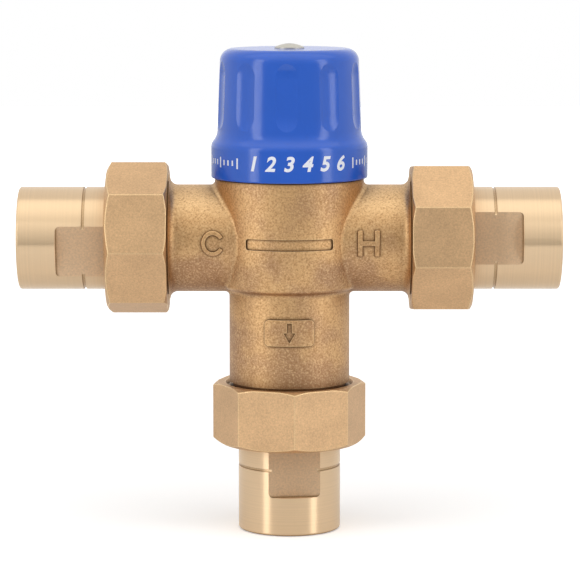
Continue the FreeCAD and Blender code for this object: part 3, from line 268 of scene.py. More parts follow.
class VALVE_OT_stage(bpy.types.Operator):
    """Makes the floor, the light hood, the world, the lamps and the camera"""

    bl_idname = "valve.stage"
    bl_label = "Stage"

    def execute(self, context):
        settings = context.scene.valve_studio
        self.floor(settings)
        self.hood(settings)
        self.world(context.scene, settings)
        self.lamps()
        self.camera(context.scene, settings)
        return {"FINISHED"}

    def sheet(self, name, shape, material):
        """Turns a bmesh into a piece of the studio."""
        mesh = bpy.data.meshes.new(name)
        shape.to_mesh(mesh)
        shape.free()
        mesh.materials.append(material)
        made = bpy.data.objects.new(name, mesh)
        bpy.context.scene.collection.objects.link(made)
        return made

    def floor(self, settings):
        # Matt white laminate: it takes the soft shadow, and a glow that grows with the
        # distance from the valve lifts the rest of it to white.
        width, depth = 2.8, 2.2
        glow_start, glow_end = 0.15, 1.1
        material, tree, shader = new_finish("white_laminate", {
            "Roughness": 0.7, "Emission Color": (1, 1, 1, 1)})
        place = add(tree, "ShaderNodeTexCoord").outputs["Object"]
        cloud = add(tree, "ShaderNodeTexNoise", {"Vector": place, "Scale": 4.0})
        mottle(tree, shader, cloud.outputs[0], settings.floor_colour, (0.985, 1.0))
        path = add(tree, "ShaderNodeLightPath")
        away = add(tree, "ShaderNodeVectorMath", {0: place}, operation="LENGTH")
        lift = add(tree, "ShaderNodeMapRange", {0: away.outputs["Value"], 1: glow_start,
                                                2: glow_end, 3: settings.floor_lift, 4: 1.0})
        seen = add(tree, "ShaderNodeMath", {0: path.outputs["Is Camera Ray"],
                                            1: lift.outputs[0]}, operation="MULTIPLY")
        mirrored = add(tree, "ShaderNodeMath", {0: path.outputs["Is Glossy Ray"],
                                                1: settings.floor_gloss, 2: seen.outputs[0]},
                       operation="MULTIPLY_ADD")
        tree.links.new(mirrored.outputs[0], shader.inputs["Emission Strength"])
        shape = bmesh.new()
        bmesh.ops.create_grid(shape, x_segments=1, y_segments=1, size=0.5)
        bmesh.ops.scale(shape, vec=(width, depth, 1), verts=shape.verts)
        bmesh.ops.translate(shape, verts=shape.verts,
                            vec=(0, depth / 2 - settings.floor_front, cad_low.z - 0.1 * MM))
        self.sheet("studio_floor", shape, material)

    def hood(self, settings):
        # White paper hood, bent round in front of the valve and over it: only gloss sees
        # it. It is dim by the lens, which gives turned brass its dark band, and bright
        # overhead.
        reach = settings.hood_radius
        foot, shoulder, crown = -0.15 * reach, 0.65 * reach, 1.06 * reach
        half_width = 1.6
        hem, sweep = math.radians(25), math.radians(127)
        material, tree, shader = new_finish("light_hood", {})
        place = add(tree, "ShaderNodeTexCoord").outputs["Object"]
        height = add(tree, "ShaderNodeSeparateXYZ", {0: place}).outputs["Z"]
        lower = add(tree, "ShaderNodeMapRange", {0: height, 1: foot, 2: shoulder,
                                                 3: settings.hood_dim, 4: 0.9})
        upper = add(tree, "ShaderNodeMapRange", {0: height, 1: shoulder, 2: crown,
                                                 3: 0.0, 4: settings.hood_bright})
        glow = add(tree, "ShaderNodeMath", {0: lower.outputs[0], 1: upper.outputs[0]},
                   operation="ADD")
        paper = add(tree, "ShaderNodeEmission", {"Color": settings.hood_colour,
                                                 "Strength": glow.outputs[0]})
        output = next(n for n in tree.nodes if n.type == "OUTPUT_MATERIAL")
        tree.links.new(paper.outputs[0], output.inputs["Surface"])
        tree.nodes.remove(shader)
        middle = Vector((0, 0, centre("hot_tail").z))
        shape = bmesh.new()
        ends = [shape.verts.new((side, -reach, middle.z))
                for side in (-half_width, half_width)]
        edge = shape.edges.new(ends)
        bmesh.ops.rotate(shape, cent=middle, matrix=Matrix.Rotation(hem, 3, "X"), verts=ends)
        bmesh.ops.spin(shape, geom=[edge, *ends], cent=middle, axis=(-1, 0, 0), angle=sweep,
                       steps=36, use_merge=False)
        bent = self.sheet("light_hood", shape, material)
        bent.visible_camera = False
        bent.visible_diffuse = False
        bent.visible_transmission = False
        bent.visible_shadow = False

    def world(self, scene, settings):
        # The lens, gloss and glass see plain white, and matt surfaces a weaker fill.
        fill_strength = 0.42
        world = bpy.data.worlds.new("white_studio")
        scene.world = world
        world.use_nodes = True
        tree = world.node_tree
        tree.nodes.clear()
        seen = add(tree, "ShaderNodeBackground", {"Color": settings.world_colour,
                                                  "Strength": 1.0})
        fill = add(tree, "ShaderNodeBackground", {"Color": settings.world_colour,
                                                  "Strength": fill_strength})
        path = add(tree, "ShaderNodeLightPath")
        gloss = add(tree, "ShaderNodeMath",
                    {0: path.outputs["Is Camera Ray"], 1: path.outputs["Is Glossy Ray"]},
                    operation="MAXIMUM")
        eye = add(tree, "ShaderNodeMath",
                  {0: gloss.outputs[0], 1: path.outputs["Is Transmission Ray"]},
                  operation="MAXIMUM")
        mixed = add(tree, "ShaderNodeMixShader", {0: eye.outputs[0], 1: fill.outputs[0],
                                                  2: seen.outputs[0]})
        add(tree, "ShaderNodeOutputWorld", {"Surface": mixed.outputs[0]})

    def lamps(self):
        """A wide overhead box and two upright boxes in front, the left one stronger."""
        boxes = (
            # name, place, looks at, width, height, power, mirrored by gloss
            ("overhead_box", (0.0, -0.46, 1.05), (0.0, -0.30, 0.0), 1.5, 1.2, 8.0, False),
            ("left_box", (-0.95, -0.72, 0.35), (0.0, 0.0, 0.08), 0.32, 0.9, 2.4, True),
            ("right_box", (1.0, -0.66, 0.35), (0.0, 0.0, 0.08), 0.32, 0.9, 2.1, True),
        )
        for name, place, target, width, height, power, mirrored in boxes:
            lamp = bpy.data.lights.new(name, "AREA")
            lamp.shape = "RECTANGLE"
            lamp.size = width
            lamp.size_y = height
            lamp.energy = power
            holder = bpy.data.objects.new(name, lamp)
            holder.location = place
            aim = Vector(target) - Vector(place)
            holder.rotation_euler = aim.to_track_quat("-Z", "Y").to_euler()
            holder.visible_glossy = mirrored
            bpy.context.scene.collection.objects.link(holder)

    def camera(self, scene, settings):
        camera = bpy.data.cameras.new("camera")
        camera.lens = settings.focal_length
        camera.sensor_width = 36
        camera.clip_start = 0.01
        camera.clip_end = 20
        holder = bpy.data.objects.new("camera", camera)
        target = Vector((settings.view_shift, 0, settings.view_height))
        back = Vector((0, -math.cos(settings.view_pitch), math.sin(settings.view_pitch)))
        holder.location = target + back * settings.view_distance
        holder.rotation_euler = (math.radians(90) - settings.view_pitch, 0, 0)
        scene.collection.objects.link(holder)
        scene.camera = holder
        scene.view_settings.view_transform = "Standard"


def piece(name, shape, material, body, smooth=True):
    """Turns a bmesh into a finished piece that rides on a CAD body."""
    mesh = bpy.data.meshes.new(name)
    shape.to_mesh(mesh)
    shape.free()
    mesh.materials.append(material)
    for face in mesh.polygons:
        face.use_smooth = smooth
    made = bpy.data.objects.new(name, mesh)
    bpy.context.scene.collection.objects.link(made)
    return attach(made, body)


class VALVE_OT_casting(bpy.types.Operator):
    """Finishes the cast body and adds the raised letters of its inlets"""

    bl_idname = "valve.casting"
    bl_label = "Casting"

    def execute(self, context):
        settings = context.scene.valve_casting
        material = self.bronze(settings)
        wear(material, "valve_body")
        self.open_letter(settings, material)
        self.barred_letter(settings, material)
        return {"FINISHED"}

    def bronze(self, settings):
        # Sand-cast bronze with a bead blast finish: matt grain with burnished flecks, dull
        # hollows and soft heat stains. The stain is heavier on the leg below the arms, and the
        # leg is painted darker just above its union. Painted shade darkens the undersides,
        # corners and crooks, and painted highlights brighten the upward faces and, with real
        # burnish, the edges.
        corner_reach, crook_reach, edge_radius = 0.9 * MM, 7 * MM, 0.35 * MM
        leg_top = centre("hot_tail").z - settings.arm_radius
        union_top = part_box("outlet_nut")[1].z
        stain_fade, union_band_height = 8 * MM, 6 * MM
        material, tree, shader = new_finish("sand_cast_bronze", {"Metallic": 1.0})
        where = add(tree, "ShaderNodeTexCoord")
        place = where.outputs["Object"]
        grain = add(tree, "ShaderNodeTexNoise", {"Vector": place, "Scale": 1 / settings.grain,
                                                 "Detail": 3.0, "Roughness": 0.65})
        lump = add(tree, "ShaderNodeTexNoise", {"Vector": place, "Scale": 1 / settings.lump,
                                                "Detail": 3.0, "Roughness": 0.5})
        patch = add(tree, "ShaderNodeTexNoise", {"Vector": place, "Scale": 1 / settings.patch,
                                                 "Detail": 2.5, "Roughness": 0.45})
        # Painted shade: occlusion darkens the fine corners and the wide crooks by the nuts.
        corner = add(tree, "ShaderNodeAmbientOcclusion", {"Distance": corner_reach}, samples=8)
        crook = add(tree, "ShaderNodeAmbientOcclusion", {"Distance": crook_reach}, samples=6)
        # The bevel mask brightens edges: partly burnished wear, partly a painted highlight.
        rounded = add(tree, "ShaderNodeBevel", {"Radius": edge_radius}, samples=4)
        flat = add(tree, "ShaderNodeNewGeometry").outputs["Normal"]
        turn = add(tree, "ShaderNodeVectorMath", {0: rounded.outputs[0], 1: flat},
                   operation="DOT_PRODUCT")
        edge = add(tree, "ShaderNodeMapRange", {0: turn.outputs["Value"], 1: 0.995, 2: 0.9,
                                                4: 0.7})
        fleck = add(tree, "ShaderNodeMapRange", {0: grain.outputs[0], 1: 0.48, 2: 0.72,
                                                 4: 0.66}, interpolation_type="SMOOTHSTEP")
        dip = add(tree, "ShaderNodeMapRange", {0: grain.outputs[0], 1: 0.52, 2: 0.3,
                                               4: 0.62}, interpolation_type="SMOOTHSTEP")
        up = add(tree, "ShaderNodeSeparateXYZ", {0: where.outputs["Normal"]}).outputs["Z"]
        # Downward faces take more stain: painted shade on the undersides, added to the random
        # stain.
        patch_and_underside_shade = add(tree, "ShaderNodeMath", {0: up, 1: -0.25, 2: patch.outputs[0]},
                   operation="MULTIPLY_ADD")
        height = add(tree, "ShaderNodeSeparateXYZ", {0: place}).outputs["Z"]
        # The stain grows on the leg below the arms.
        leg = add(tree, "ShaderNodeMapRange", {0: height, 1: leg_top, 2: leg_top - stain_fade,
                                               4: 0.1})
        # The leg is painted darker for a few millimetres above its union nut.
        union_band = add(tree, "ShaderNodeMapRange", {0: height, 1: union_top + union_band_height,
                                                2: union_top, 4: 0.2})
        deep = add(tree, "ShaderNodeMath", {0: patch_and_underside_shade.outputs[0], 1: leg.outputs[0]},
                   operation="ADD")
        stain_and_shade_share = add(tree, "ShaderNodeMapRange", {0: deep.outputs[0], 1: 0.46, 2: 0.74,
                                                   4: 0.85}, interpolation_type="SMOOTHSTEP")
        base = add(tree, "ShaderNodeMix", {0: stain_and_shade_share.outputs[0], 6: settings.metal,
                                           7: settings.stain}, data_type="RGBA")
        # Faces that point up are painted brighter: a painted highlight of the light from
        # overhead.
        painted_top_light = add(tree, "ShaderNodeMapRange", {0: up, 1: 0.42, 2: 0.68, 4: 0.5})
        top_lit = add(tree, "ShaderNodeMix", {0: painted_top_light.outputs[0], 6: base.outputs[2],
                                              7: settings.bright}, data_type="RGBA")
        light = add(tree, "ShaderNodeMix", {0: fleck.outputs[0], 6: top_lit.outputs[2],
                                            7: settings.bright}, data_type="RGBA")
        grainy = add(tree, "ShaderNodeMix", {0: dip.outputs[0], 6: light.outputs[2],
                                             7: settings.dull}, data_type="RGBA")
        # Edges mix towards the bright colour: burnished wear and a painted highlight.
        worn = add(tree, "ShaderNodeMix", {0: edge.outputs[0], 6: grainy.outputs[2],
                                           7: settings.bright}, data_type="RGBA")
        foot = add(tree, "ShaderNodeMapRange", {0: corner.outputs["AO"], 1: 0.99, 2: 0.7,
                                                4: 0.9})
        skin_tone_and_crook_shade = add(tree, "ShaderNodeMapRange", {0: crook.outputs["AO"], 1: 0.88, 2: 0.4,
                                                 4: 0.62})
        corner_and_crook_shade = add(tree, "ShaderNodeMath", {0: foot.outputs[0], 1: skin_tone_and_crook_shade.outputs[0]},
                      operation="MAXIMUM")
        # Share of painted shade: corners and crooks, plus the band above the union.
        painted_shade_share = add(tree, "ShaderNodeMath", {0: corner_and_crook_shade.outputs[0], 1: union_band.outputs[0]},
                   operation="ADD", use_clamp=True)
        with_painted_shade = add(tree, "ShaderNodeMix", {0: painted_shade_share.outputs[0], 6: worn.outputs[2],
                                           7: settings.painted_shade}, data_type="RGBA")
        tree.links.new(with_painted_shade.outputs[2], shader.inputs["Base Color"])
        rough = add(tree, "ShaderNodeMapRange", {0: grain.outputs[0], 1: 0.3, 2: 0.7,
                                                 3: 0.56, 4: 0.42})
        tree.links.new(rough.outputs[0], shader.inputs["Roughness"])
        soft = add(tree, "ShaderNodeBump", {"Strength": 0.55, "Distance": 0.16 * MM,
                                            "Height": lump.outputs[0]})
        sandy = add(tree, "ShaderNodeBump", {"Strength": 0.6, "Distance": 0.05 * MM,
                                             "Height": grain.outputs[0],
                                             "Normal": soft.outputs[0]})
        tree.links.new(sandy.outputs[0], shader.inputs["Normal"])
        return material

    def raise_letter(self, name, shape, settings, material, place, rows):
        """Gives a flat letter its height, soft edges and, cut in rows, the arm's roundness."""
        relief = settings.relief
        root = 3 * relief  # its foot stays sunk in the round arm
        raised = bmesh.ops.extrude_face_region(shape, geom=shape.faces)["geom"]
        top = [v for v in raised if isinstance(v, bmesh.types.BMVert)]
        bmesh.ops.translate(shape, vec=(0, -root - relief, 0), verts=top)
        bmesh.ops.recalc_face_normals(shape, faces=shape.faces)
        tops = set(top)
        rim = [e for e in shape.edges if set(e.verts) <= tops and
               any(not set(f.verts) <= tops for f in e.link_faces)]
        bmesh.ops.bevel(shape, geom=rim, offset=settings.letter_edge, segments=3, profile=0.5,
                        affect="EDGES", material=-1)
        low = min(v.co.z for v in shape.verts)
        high = max(v.co.z for v in shape.verts)
        for row in range(1, rows):
            cut = low + (high - low) * row / rows
            bmesh.ops.bisect_plane(shape, geom=[*shape.verts, *shape.edges, *shape.faces],
                                   plane_co=(0, 0, cut), plane_no=(0, 0, 1))
        for vertex in shape.verts:
            surface = math.sqrt(settings.arm_radius ** 2 - vertex.co.z ** 2)
            vertex.co.y += root - surface
            vertex.co.x += place
            vertex.co.z += centre("hot_tail").z
        piece(name, shape, material, "valve")

    def open_letter(self, settings, material):
        shape = bmesh.new()
        outer = settings.letter_height / 2
        inner = outer - settings.letter_stroke
        start = settings.letter_opening / 2
        ends = [shape.verts.new((reach, 0, 0)) for reach in (inner, outer)]
        edge = shape.edges.new(ends)
        bmesh.ops.rotate(shape, cent=(0, 0, 0), matrix=Matrix.Rotation(-start, 3, "Y"),
                         verts=ends)
        bmesh.ops.spin(shape, geom=[edge, *ends], cent=(0, 0, 0), axis=(0, -1, 0),
                       angle=2 * math.pi - 2 * start, steps=40, use_merge=False)
        bmesh.ops.scale(shape, vec=(settings.letter_width / settings.letter_height, 1, 1),
                        verts=shape.verts)
        self.raise_letter("cold_letter", shape, settings, material, -settings.letter_place, 1)

    def barred_letter(self, settings, material):
        shape = bmesh.new()
        bmesh.ops.create_grid(shape, x_segments=3, y_segments=3, size=1.5)
        bmesh.ops.rotate(shape, cent=(0, 0, 0), matrix=Matrix.Rotation(math.pi / 2, 3, "X"),
                         verts=shape.verts)
        half_width = settings.bar_letter_width / 2
        half_height = settings.bar_letter_height / 2
        half_bar = settings.bar_letter_stroke / 2
        for vertex in shape.verts:
            column = half_width if abs(vertex.co.x) > 1 else half_width - 2 * half_bar
            row = half_height if abs(vertex.co.z) > 1 else half_bar
            vertex.co.x = math.copysign(column, vertex.co.x)
            vertex.co.z = math.copysign(row, vertex.co.z)
        notches = [f for f in shape.faces if abs(f.calc_center_median().x) < half_bar and
                   abs(f.calc_center_median().z) > half_bar]
        bmesh.ops.delete(shape, geom=notches, context="FACES")
        self.raise_letter("hot_letter", shape, settings, material, settings.bar_letter_place,
                          14)


class VALVE_OT_cap(bpy.types.Operator):
    """Finishes the moulded cap and its screw, and prints the scale round the rim"""

    bl_idname = "valve.cap"
    bl_label = "Cap"

    def execute(self, context):
        settings = context.scene.valve_cap
        wear(self.plastic(settings), "cap")
        wear(self.steel(settings), "cap_screw")
        self.print_scale(settings)
        return {"FINISHED"}

    def plastic(self, settings):
        # Moulded ABS: glossy, with a faint waviness where the plastic shrank over its ribs.
        material, tree, shader = new_finish("blue_abs", {"IOR": 1.52})
        place = add(tree, "ShaderNodeTexCoord").outputs["Object"]
        wave = add(tree, "ShaderNodeTexNoise", {"Vector": place, "Scale": 1 / (7 * MM),
                                                "Detail": 1.0})
        haze = add(tree, "ShaderNodeTexNoise", {"Vector": place, "Scale": 1 / (1.2 * MM),
                                                "Detail": 3.0})
        mottle(tree, shader, wave.outputs[0], settings.plastic, (0.94, 1.04),
               relief=(0.25, 0.1 * MM))
        rough = add(tree, "ShaderNodeMapRange", {0: haze.outputs[0], 3: 0.13, 4: 0.2})
        tree.links.new(rough.outputs[0], shader.inputs["Roughness"])
        return material

    def steel(self, settings):
        # Nickel-plated steel, stamped: soft satin with faint handling marks.
        material, tree, shader = new_finish("plated_steel", {
            "Base Color": settings.steel, "Metallic": 1.0})
        place = add(tree, "ShaderNodeTexCoord").outputs["Object"]
        mark = add(tree, "ShaderNodeTexNoise", {"Vector": place, "Scale": 1 / (0.8 * MM),
                                                "Detail": 4.0})
        rough = add(tree, "ShaderNodeMapRange", {0: mark.outputs[0], 3: 0.3, 4: 0.5})
        tree.links.new(rough.outputs[0], shader.inputs["Roughness"])
        bump = add(tree, "ShaderNodeBump", {"Strength": 0.3, "Distance": 0.03 * MM,
                                            "Height": mark.outputs[0]})
        tree.links.new(bump.outputs[0], shader.inputs["Normal"])
        return material

    def ink(self, settings):
        # Pad-printed ink: matt white, a little thinner over the plastic's waves.
        material, tree, shader = new_finish("white_ink", {"Roughness": 0.45})
        place = add(tree, "ShaderNodeTexCoord").outputs["Object"]
        thin = add(tree, "ShaderNodeTexNoise", {"Vector": place, "Scale": 1 / (0.6 * MM),
                                                "Detail": 2.0})
        mottle(tree, shader, thin.outputs[0], settings.ink, (0.9, 1.0))
        return material

    def print_scale(self, settings):
        """Numbers in the middle, with long and short marks beside them."""
        shape = bmesh.new()
        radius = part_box("cap")[1].x
        middle = settings.scale_centre * radius
        numbers = "123456"
        ticks, long_tick, tick_step = 9, 4, 0.36
        for place, number in enumerate(numbers):
            offset = (place - (len(numbers) - 1) / 2) * settings.numeral_pitch
            self.numeral(shape, number, middle + offset, settings)
        edge = (len(numbers) / 2 + 0.5) * settings.numeral_pitch
        for side in (-1, 1):
            for step in range(ticks):
                height = settings.tick_height * (1.0 if step % long_tick == 0 else 0.5)
                away = edge + tick_step * step * settings.numeral_pitch
                self.tick(shape, middle + side * away, height, settings)
        # Cut every millimetre, so that the flat print can bend round the rim.
        for place in range(-30, 31):
            bmesh.ops.bisect_plane(shape, geom=[*shape.verts, *shape.edges, *shape.faces],
                                   plane_co=(place * MM, 0, 0), plane_no=(1, 0, 0))
        proud = bmesh.ops.extrude_face_region(shape, geom=shape.faces)["geom"]
        bmesh.ops.translate(shape, vec=(0, -settings.ink_thickness, 0),
                            verts=[v for v in proud if isinstance(v, bmesh.types.BMVert)])
        bmesh.ops.recalc_face_normals(shape, faces=shape.faces)
        for vertex in shape.verts:
            turn = vertex.co.x / radius
            reach = radius - vertex.co.y
            vertex.co = (reach * math.sin(turn), -reach * math.cos(turn),
                         settings.scale_height + vertex.co.z)
        piece("cap_scale", shape, self.ink(settings), "cap", smooth=False)

    def numeral(self, shape, number, place, settings):
        """Adds one flat number to the scale, standing upright in the XZ plane."""
        figure_share = 0.73  # a figure's height as a share of the text's size
        text = bpy.data.curves.new("numeral", "FONT")
        text.body = number
        text.size = settings.numeral_height / figure_share
        text.shear = settings.numeral_lean
        text.offset = 0.16 * MM  # makes it bolder
        text.align_x = "CENTER"
        text.align_y = "CENTER"
        text.resolution_u = 8
        holder = bpy.data.objects.new("numeral", text)
        bpy.context.scene.collection.objects.link(holder)
        graph = bpy.context.evaluated_depsgraph_get()
        outline = bpy.data.meshes.new_from_object(holder.evaluated_get(graph))
        upright = Matrix.Rotation(math.pi / 2, 4, "X")
        outline.transform(Matrix.Translation((place, 0, 0)) @ upright)
        shape.from_mesh(outline)
        bpy.data.objects.remove(holder)
        bpy.data.curves.remove(text)
        bpy.data.meshes.remove(outline)

    def tick(self, shape, place, height, settings):
        """Adds one flat mark to the scale."""
        made = bmesh.ops.create_grid(shape, x_segments=1, y_segments=1, size=0.5)["verts"]
        bmesh.ops.scale(shape, vec=(settings.tick_width, height, 1), verts=made)
        bmesh.ops.rotate(shape, cent=(0, 0, 0), matrix=Matrix.Rotation(math.pi / 2, 3, "X"),
                         verts=made)
        bmesh.ops.translate(shape, vec=(place, 0, 0), verts=made)


class VALVE_OT_nuts(bpy.types.Operator):
    """Finishes the three union nuts"""

    bl_idname = "valve.nuts"
    bl_label = "Union nuts"

    def execute(self, context):
        settings = context.scene.valve_brass
        # Forged brass, tumbled: satin and finely pitted, rubbed bright along its edges.
        edge_radius, cloud_size = 0.45 * MM, 8 * MM
        material, tree, shader = new_finish("tumbled_brass", {"Metallic": 1.0})
        place = add(tree, "ShaderNodeTexCoord").outputs["Object"]
        grain = add(tree, "ShaderNodeTexNoise", {"Vector": place,
                                                 "Scale": 1 / settings.nut_grain,
                                                 "Detail": 3.0, "Roughness": 0.6})
        cloud = add(tree, "ShaderNodeTexNoise", {"Vector": place, "Scale": 1 / cloud_size,
                                                 "Detail": 3.0})
        tone = add(tree, "ShaderNodeMapRange", {0: grain.outputs[0], 1: 0.3, 2: 0.7,
                                                3: 0.83, 4: 1.1})
        cloudy = add(tree, "ShaderNodeMapRange", {0: cloud.outputs[0], 1: 0.3, 2: 0.7,
                                                  3: 0.93, 4: 1.04})
        both = add(tree, "ShaderNodeMath", {0: tone.outputs[0], 1: cloudy.outputs[0]},
                   operation="MULTIPLY")
        satin = add(tree, "ShaderNodeMix", {0: 1.0, 6: settings.nut, 7: both.outputs[0]},
                    data_type="RGBA", blend_type="MULTIPLY")
        rounded = add(tree, "ShaderNodeBevel", {"Radius": edge_radius}, samples=6)
        true_normal = add(tree, "ShaderNodeNewGeometry").outputs["Normal"]
        turn = add(tree, "ShaderNodeVectorMath", {0: rounded.outputs[0], 1: true_normal},
                   operation="DOT_PRODUCT")
        edge = add(tree, "ShaderNodeMapRange", {0: turn.outputs["Value"], 1: 0.995, 2: 0.93})
        worn = add(tree, "ShaderNodeMix", {0: edge.outputs[0], 6: satin.outputs[2],
                                           7: settings.nut_edge}, data_type="RGBA")
        tree.links.new(worn.outputs[2], shader.inputs["Base Color"])
        rough = add(tree, "ShaderNodeMapRange", {0: edge.outputs[0], 3: 0.5, 4: 0.3})
        tree.links.new(rough.outputs[0], shader.inputs["Roughness"])
        pitted = add(tree, "ShaderNodeBump", {"Strength": 0.7, "Distance": 0.03 * MM,
                                              "Height": grain.outputs[0],
                                              "Normal": rounded.outputs[0]})
        tree.links.new(pitted.outputs[0], shader.inputs["Normal"])
        wear(material, *(port + "_nut" for port in PORTS))
        return {"FINISHED"}


class VALVE_OT_tails(bpy.types.Operator):
    """Finishes the three tailpieces: turned all over, with forged skin on the wrench flats"""

    bl_idname = "valve.tails"
    bl_label = "Tailpieces"

    def execute(self, context):
        settings = context.scene.valve_brass
        inlet = self.turned("turned_brass_inlets", settings, (1, 0, 0))
        outlet = self.turned("turned_brass_outlet", settings, (0, 0, 1))
        wear(inlet, "cold_tail", "hot_tail")
        wear(outlet, "outlet_tail")
        return {"FINISHED"}

    def turned(self, name, settings, axis):
        # Forged brass, fine turned: bright, with tool lines round it that spread each
        # highlight along the axis. They are drawn coarser than the real 0.1 mm feed, so that
        # they show. The flats keep the forging's matt brown skin.
        flat_slack, skin_grain, nook_reach = 0.25 * MM, 0.5 * MM, 0.7 * MM
        material, tree, shader = new_finish(name, {"Metallic": 1.0, "Anisotropic": 1.0})
        spread = add(tree, "ShaderNodeCombineXYZ", {0: axis[0], 1: axis[1], 2: axis[2]})
        tree.links.new(spread.outputs[0], shader.inputs["Tangent"])
        where = add(tree, "ShaderNodeTexCoord")
        middle = (0, 0, axis[0] * centre("hot_tail").z)
        from_axis = add(tree, "ShaderNodeVectorMath", {0: where.outputs["Object"], 1: middle},
                        operation="SUBTRACT")
        across = add(tree, "ShaderNodeVectorMath",
                     {0: from_axis.outputs[0], 1: [1 - part for part in axis]},
                     operation="MULTIPLY")
        depth = add(tree, "ShaderNodeVectorMath",
                    {0: across.outputs[0], 1: where.outputs["Normal"]},
                    operation="DOT_PRODUCT")
        miss = add(tree, "ShaderNodeMath", {0: depth.outputs["Value"],
                                            1: settings.flat_distance}, operation="SUBTRACT")
        near = add(tree, "ShaderNodeMath", {0: miss.outputs[0]}, operation="ABSOLUTE")
        forged = add(tree, "ShaderNodeMath", {0: near.outputs[0], 1: flat_slack},
                     operation="LESS_THAN")
        along = add(tree, "ShaderNodeVectorMath", {0: where.outputs["Object"], 1: axis},
                    operation="DOT_PRODUCT")
        reach = add(tree, "ShaderNodeVectorMath", {0: across.outputs[0]}, operation="LENGTH")
        feed = add(tree, "ShaderNodeMath", {0: along.outputs["Value"],
                                            1: reach.outputs["Value"]}, operation="ADD")
        line = add(tree, "ShaderNodeTexNoise", {"W": feed.outputs[0],
                                                "Scale": 1 / settings.turning,
                                                "Detail": 3.0, "Roughness": 0.8},
                   noise_dimensions="1D")
        skin = add(tree, "ShaderNodeTexNoise", {"Vector": where.outputs["Object"],
                                                "Scale": 1 / skin_grain, "Detail": 3.0})
        bright = add(tree, "ShaderNodeMapRange", {0: line.outputs[0], 1: 0.3, 2: 0.7,
                                                  3: 0.93, 4: 1.0})
        metal = add(tree, "ShaderNodeMix", {0: 1.0, 6: settings.tail, 7: bright.outputs[0]},
                    data_type="RGBA", blend_type="MULTIPLY")
        skin_tone_and_crook_shade = add(tree, "ShaderNodeMapRange", {0: skin.outputs[0], 1: 0.3, 2: 0.7,
                                                 3: 0.9, 4: 1.06})
        matt = add(tree, "ShaderNodeMix", {0: 1.0, 6: settings.flat, 7: skin_tone_and_crook_shade.outputs[0]},
                   data_type="RGBA", blend_type="MULTIPLY")
        surface = add(tree, "ShaderNodeMix", {0: forged.outputs[0], 6: metal.outputs[2],
                                              7: matt.outputs[2]}, data_type="RGBA")
        # Painted shade: grooves, the flats' step walls and the corners by the nuts darken by
        # occlusion.
        groove_shade = add(tree, "ShaderNodeAmbientOcclusion", {"Distance": nook_reach}, samples=6)
        dark = add(tree, "ShaderNodeMapRange", {0: groove_shade.outputs["AO"], 1: 0.95, 2: 0.5,
                                                4: 0.75})
        groove_shaded = add(tree, "ShaderNodeMix", {0: dark.outputs[0], 6: surface.outputs[2],
                                            7: settings.groove_shade}, data_type="RGBA")
        tree.links.new(groove_shaded.outputs[2], shader.inputs["Base Color"])
        rough = add(tree, "ShaderNodeMapRange", {0: forged.outputs[0], 3: 0.36, 4: 0.62})
        tree.links.new(rough.outputs[0], shader.inputs["Roughness"])
        height = add(tree, "ShaderNodeMix", {0: forged.outputs[0], 2: line.outputs[0],
                                             3: skin.outputs[0]})
        bump = add(tree, "ShaderNodeBump", {"Strength": 0.25, "Distance": 0.02 * MM,
                                            "Height": height.outputs[0]})
        tree.links.new(bump.outputs[0], shader.inputs["Normal"])
        return material


class VALVE_OT_bonnet(bpy.types.Operator):
    """Finishes the turned parts under the cap: bonnet, spindle, plunger and spring cup"""

    bl_idname = "valve.bonnet"
    bl_label = "Bonnet and spindle"

    def execute(self, context):
        settings = context.scene.valve_brass
        # Free-cutting brass, turned: tool rings round the valve's axis, drawn twice as far
        # apart as the real 0.15 mm feed, so that they show.
        material, tree, shader = new_finish("machined_brass", {"Metallic": 1.0})
        place = add(tree, "ShaderNodeTexCoord").outputs["Object"]
        parts = add(tree, "ShaderNodeSeparateXYZ", {0: place})
        flat = add(tree, "ShaderNodeVectorMath", {0: place, 1: (1, 1, 0)},
                   operation="MULTIPLY")
        reach = add(tree, "ShaderNodeVectorMath", {0: flat.outputs[0]}, operation="LENGTH")
        feed = add(tree, "ShaderNodeMath", {0: parts.outputs["Z"], 1: reach.outputs["Value"]},
                   operation="ADD")
        ring = add(tree, "ShaderNodeTexNoise", {"W": feed.outputs[0], "Scale": 1 / (0.3 * MM),
                                                "Detail": 2.0}, noise_dimensions="1D")
        mottle(tree, shader, ring.outputs[0], settings.brass, (0.85, 1.0), span=(0.3, 0.7),
               rough=(0.22, 0.36), relief=(0.3, 0.02 * MM))
        wear(material, "bonnet", "spindle", "plunger", "spring_cup")
        return {"FINISHED"}


class VALVE_OT_springs(bpy.types.Operator):
    """Finishes the springs, clips, pin and strainers in stainless steel"""

    bl_idname = "valve.springs"
    bl_label = "Springs, clips and strainers"

    def execute(self, context):
        settings = context.scene.valve_inner
        # Stainless spring wire, drawn: grey satin with drawing marks.
        material, tree, shader = new_finish("stainless_wire", {"Metallic": 1.0})
        place = add(tree, "ShaderNodeTexCoord").outputs["Object"]
        mark = add(tree, "ShaderNodeTexNoise", {"Vector": place, "Scale": 1 / (0.3 * MM),
                                                "Detail": 2.0})
        mottle(tree, shader, mark.outputs[0], settings.spring_steel, (0.8, 1.0),
               span=(0.3, 0.7), rough=(0.2, 0.38))
        wear(material, "return_spring", "overload_spring", "spindle_clip", "cup_clip",
             "element_clip", "element_pin", *(port + "_strainer" for port in INLETS))
        for port in INLETS:
            self.check_spring(port, material)
        return {"FINISHED"}

    def check_spring(self, port, material):
        """Makes a copy of a check spring, with smooth wire and crisp cut ends."""
        sharp = 0.6  # radians: keeps the wire's cut ends crisp
        node = port + "_check_spring"
        shape = bmesh.new()
        shape.from_mesh(nodes[node].data)
        bmesh.ops.remove_doubles(shape, verts=shape.verts, dist=0.001 * MM)
        for edge in shape.edges:
            edge.smooth = len(edge.link_faces) == 2 and edge.calc_face_angle() < sharp
        coil = piece(port + "_check_coil", shape, material, "valve")
        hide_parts(node)
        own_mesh(coil)


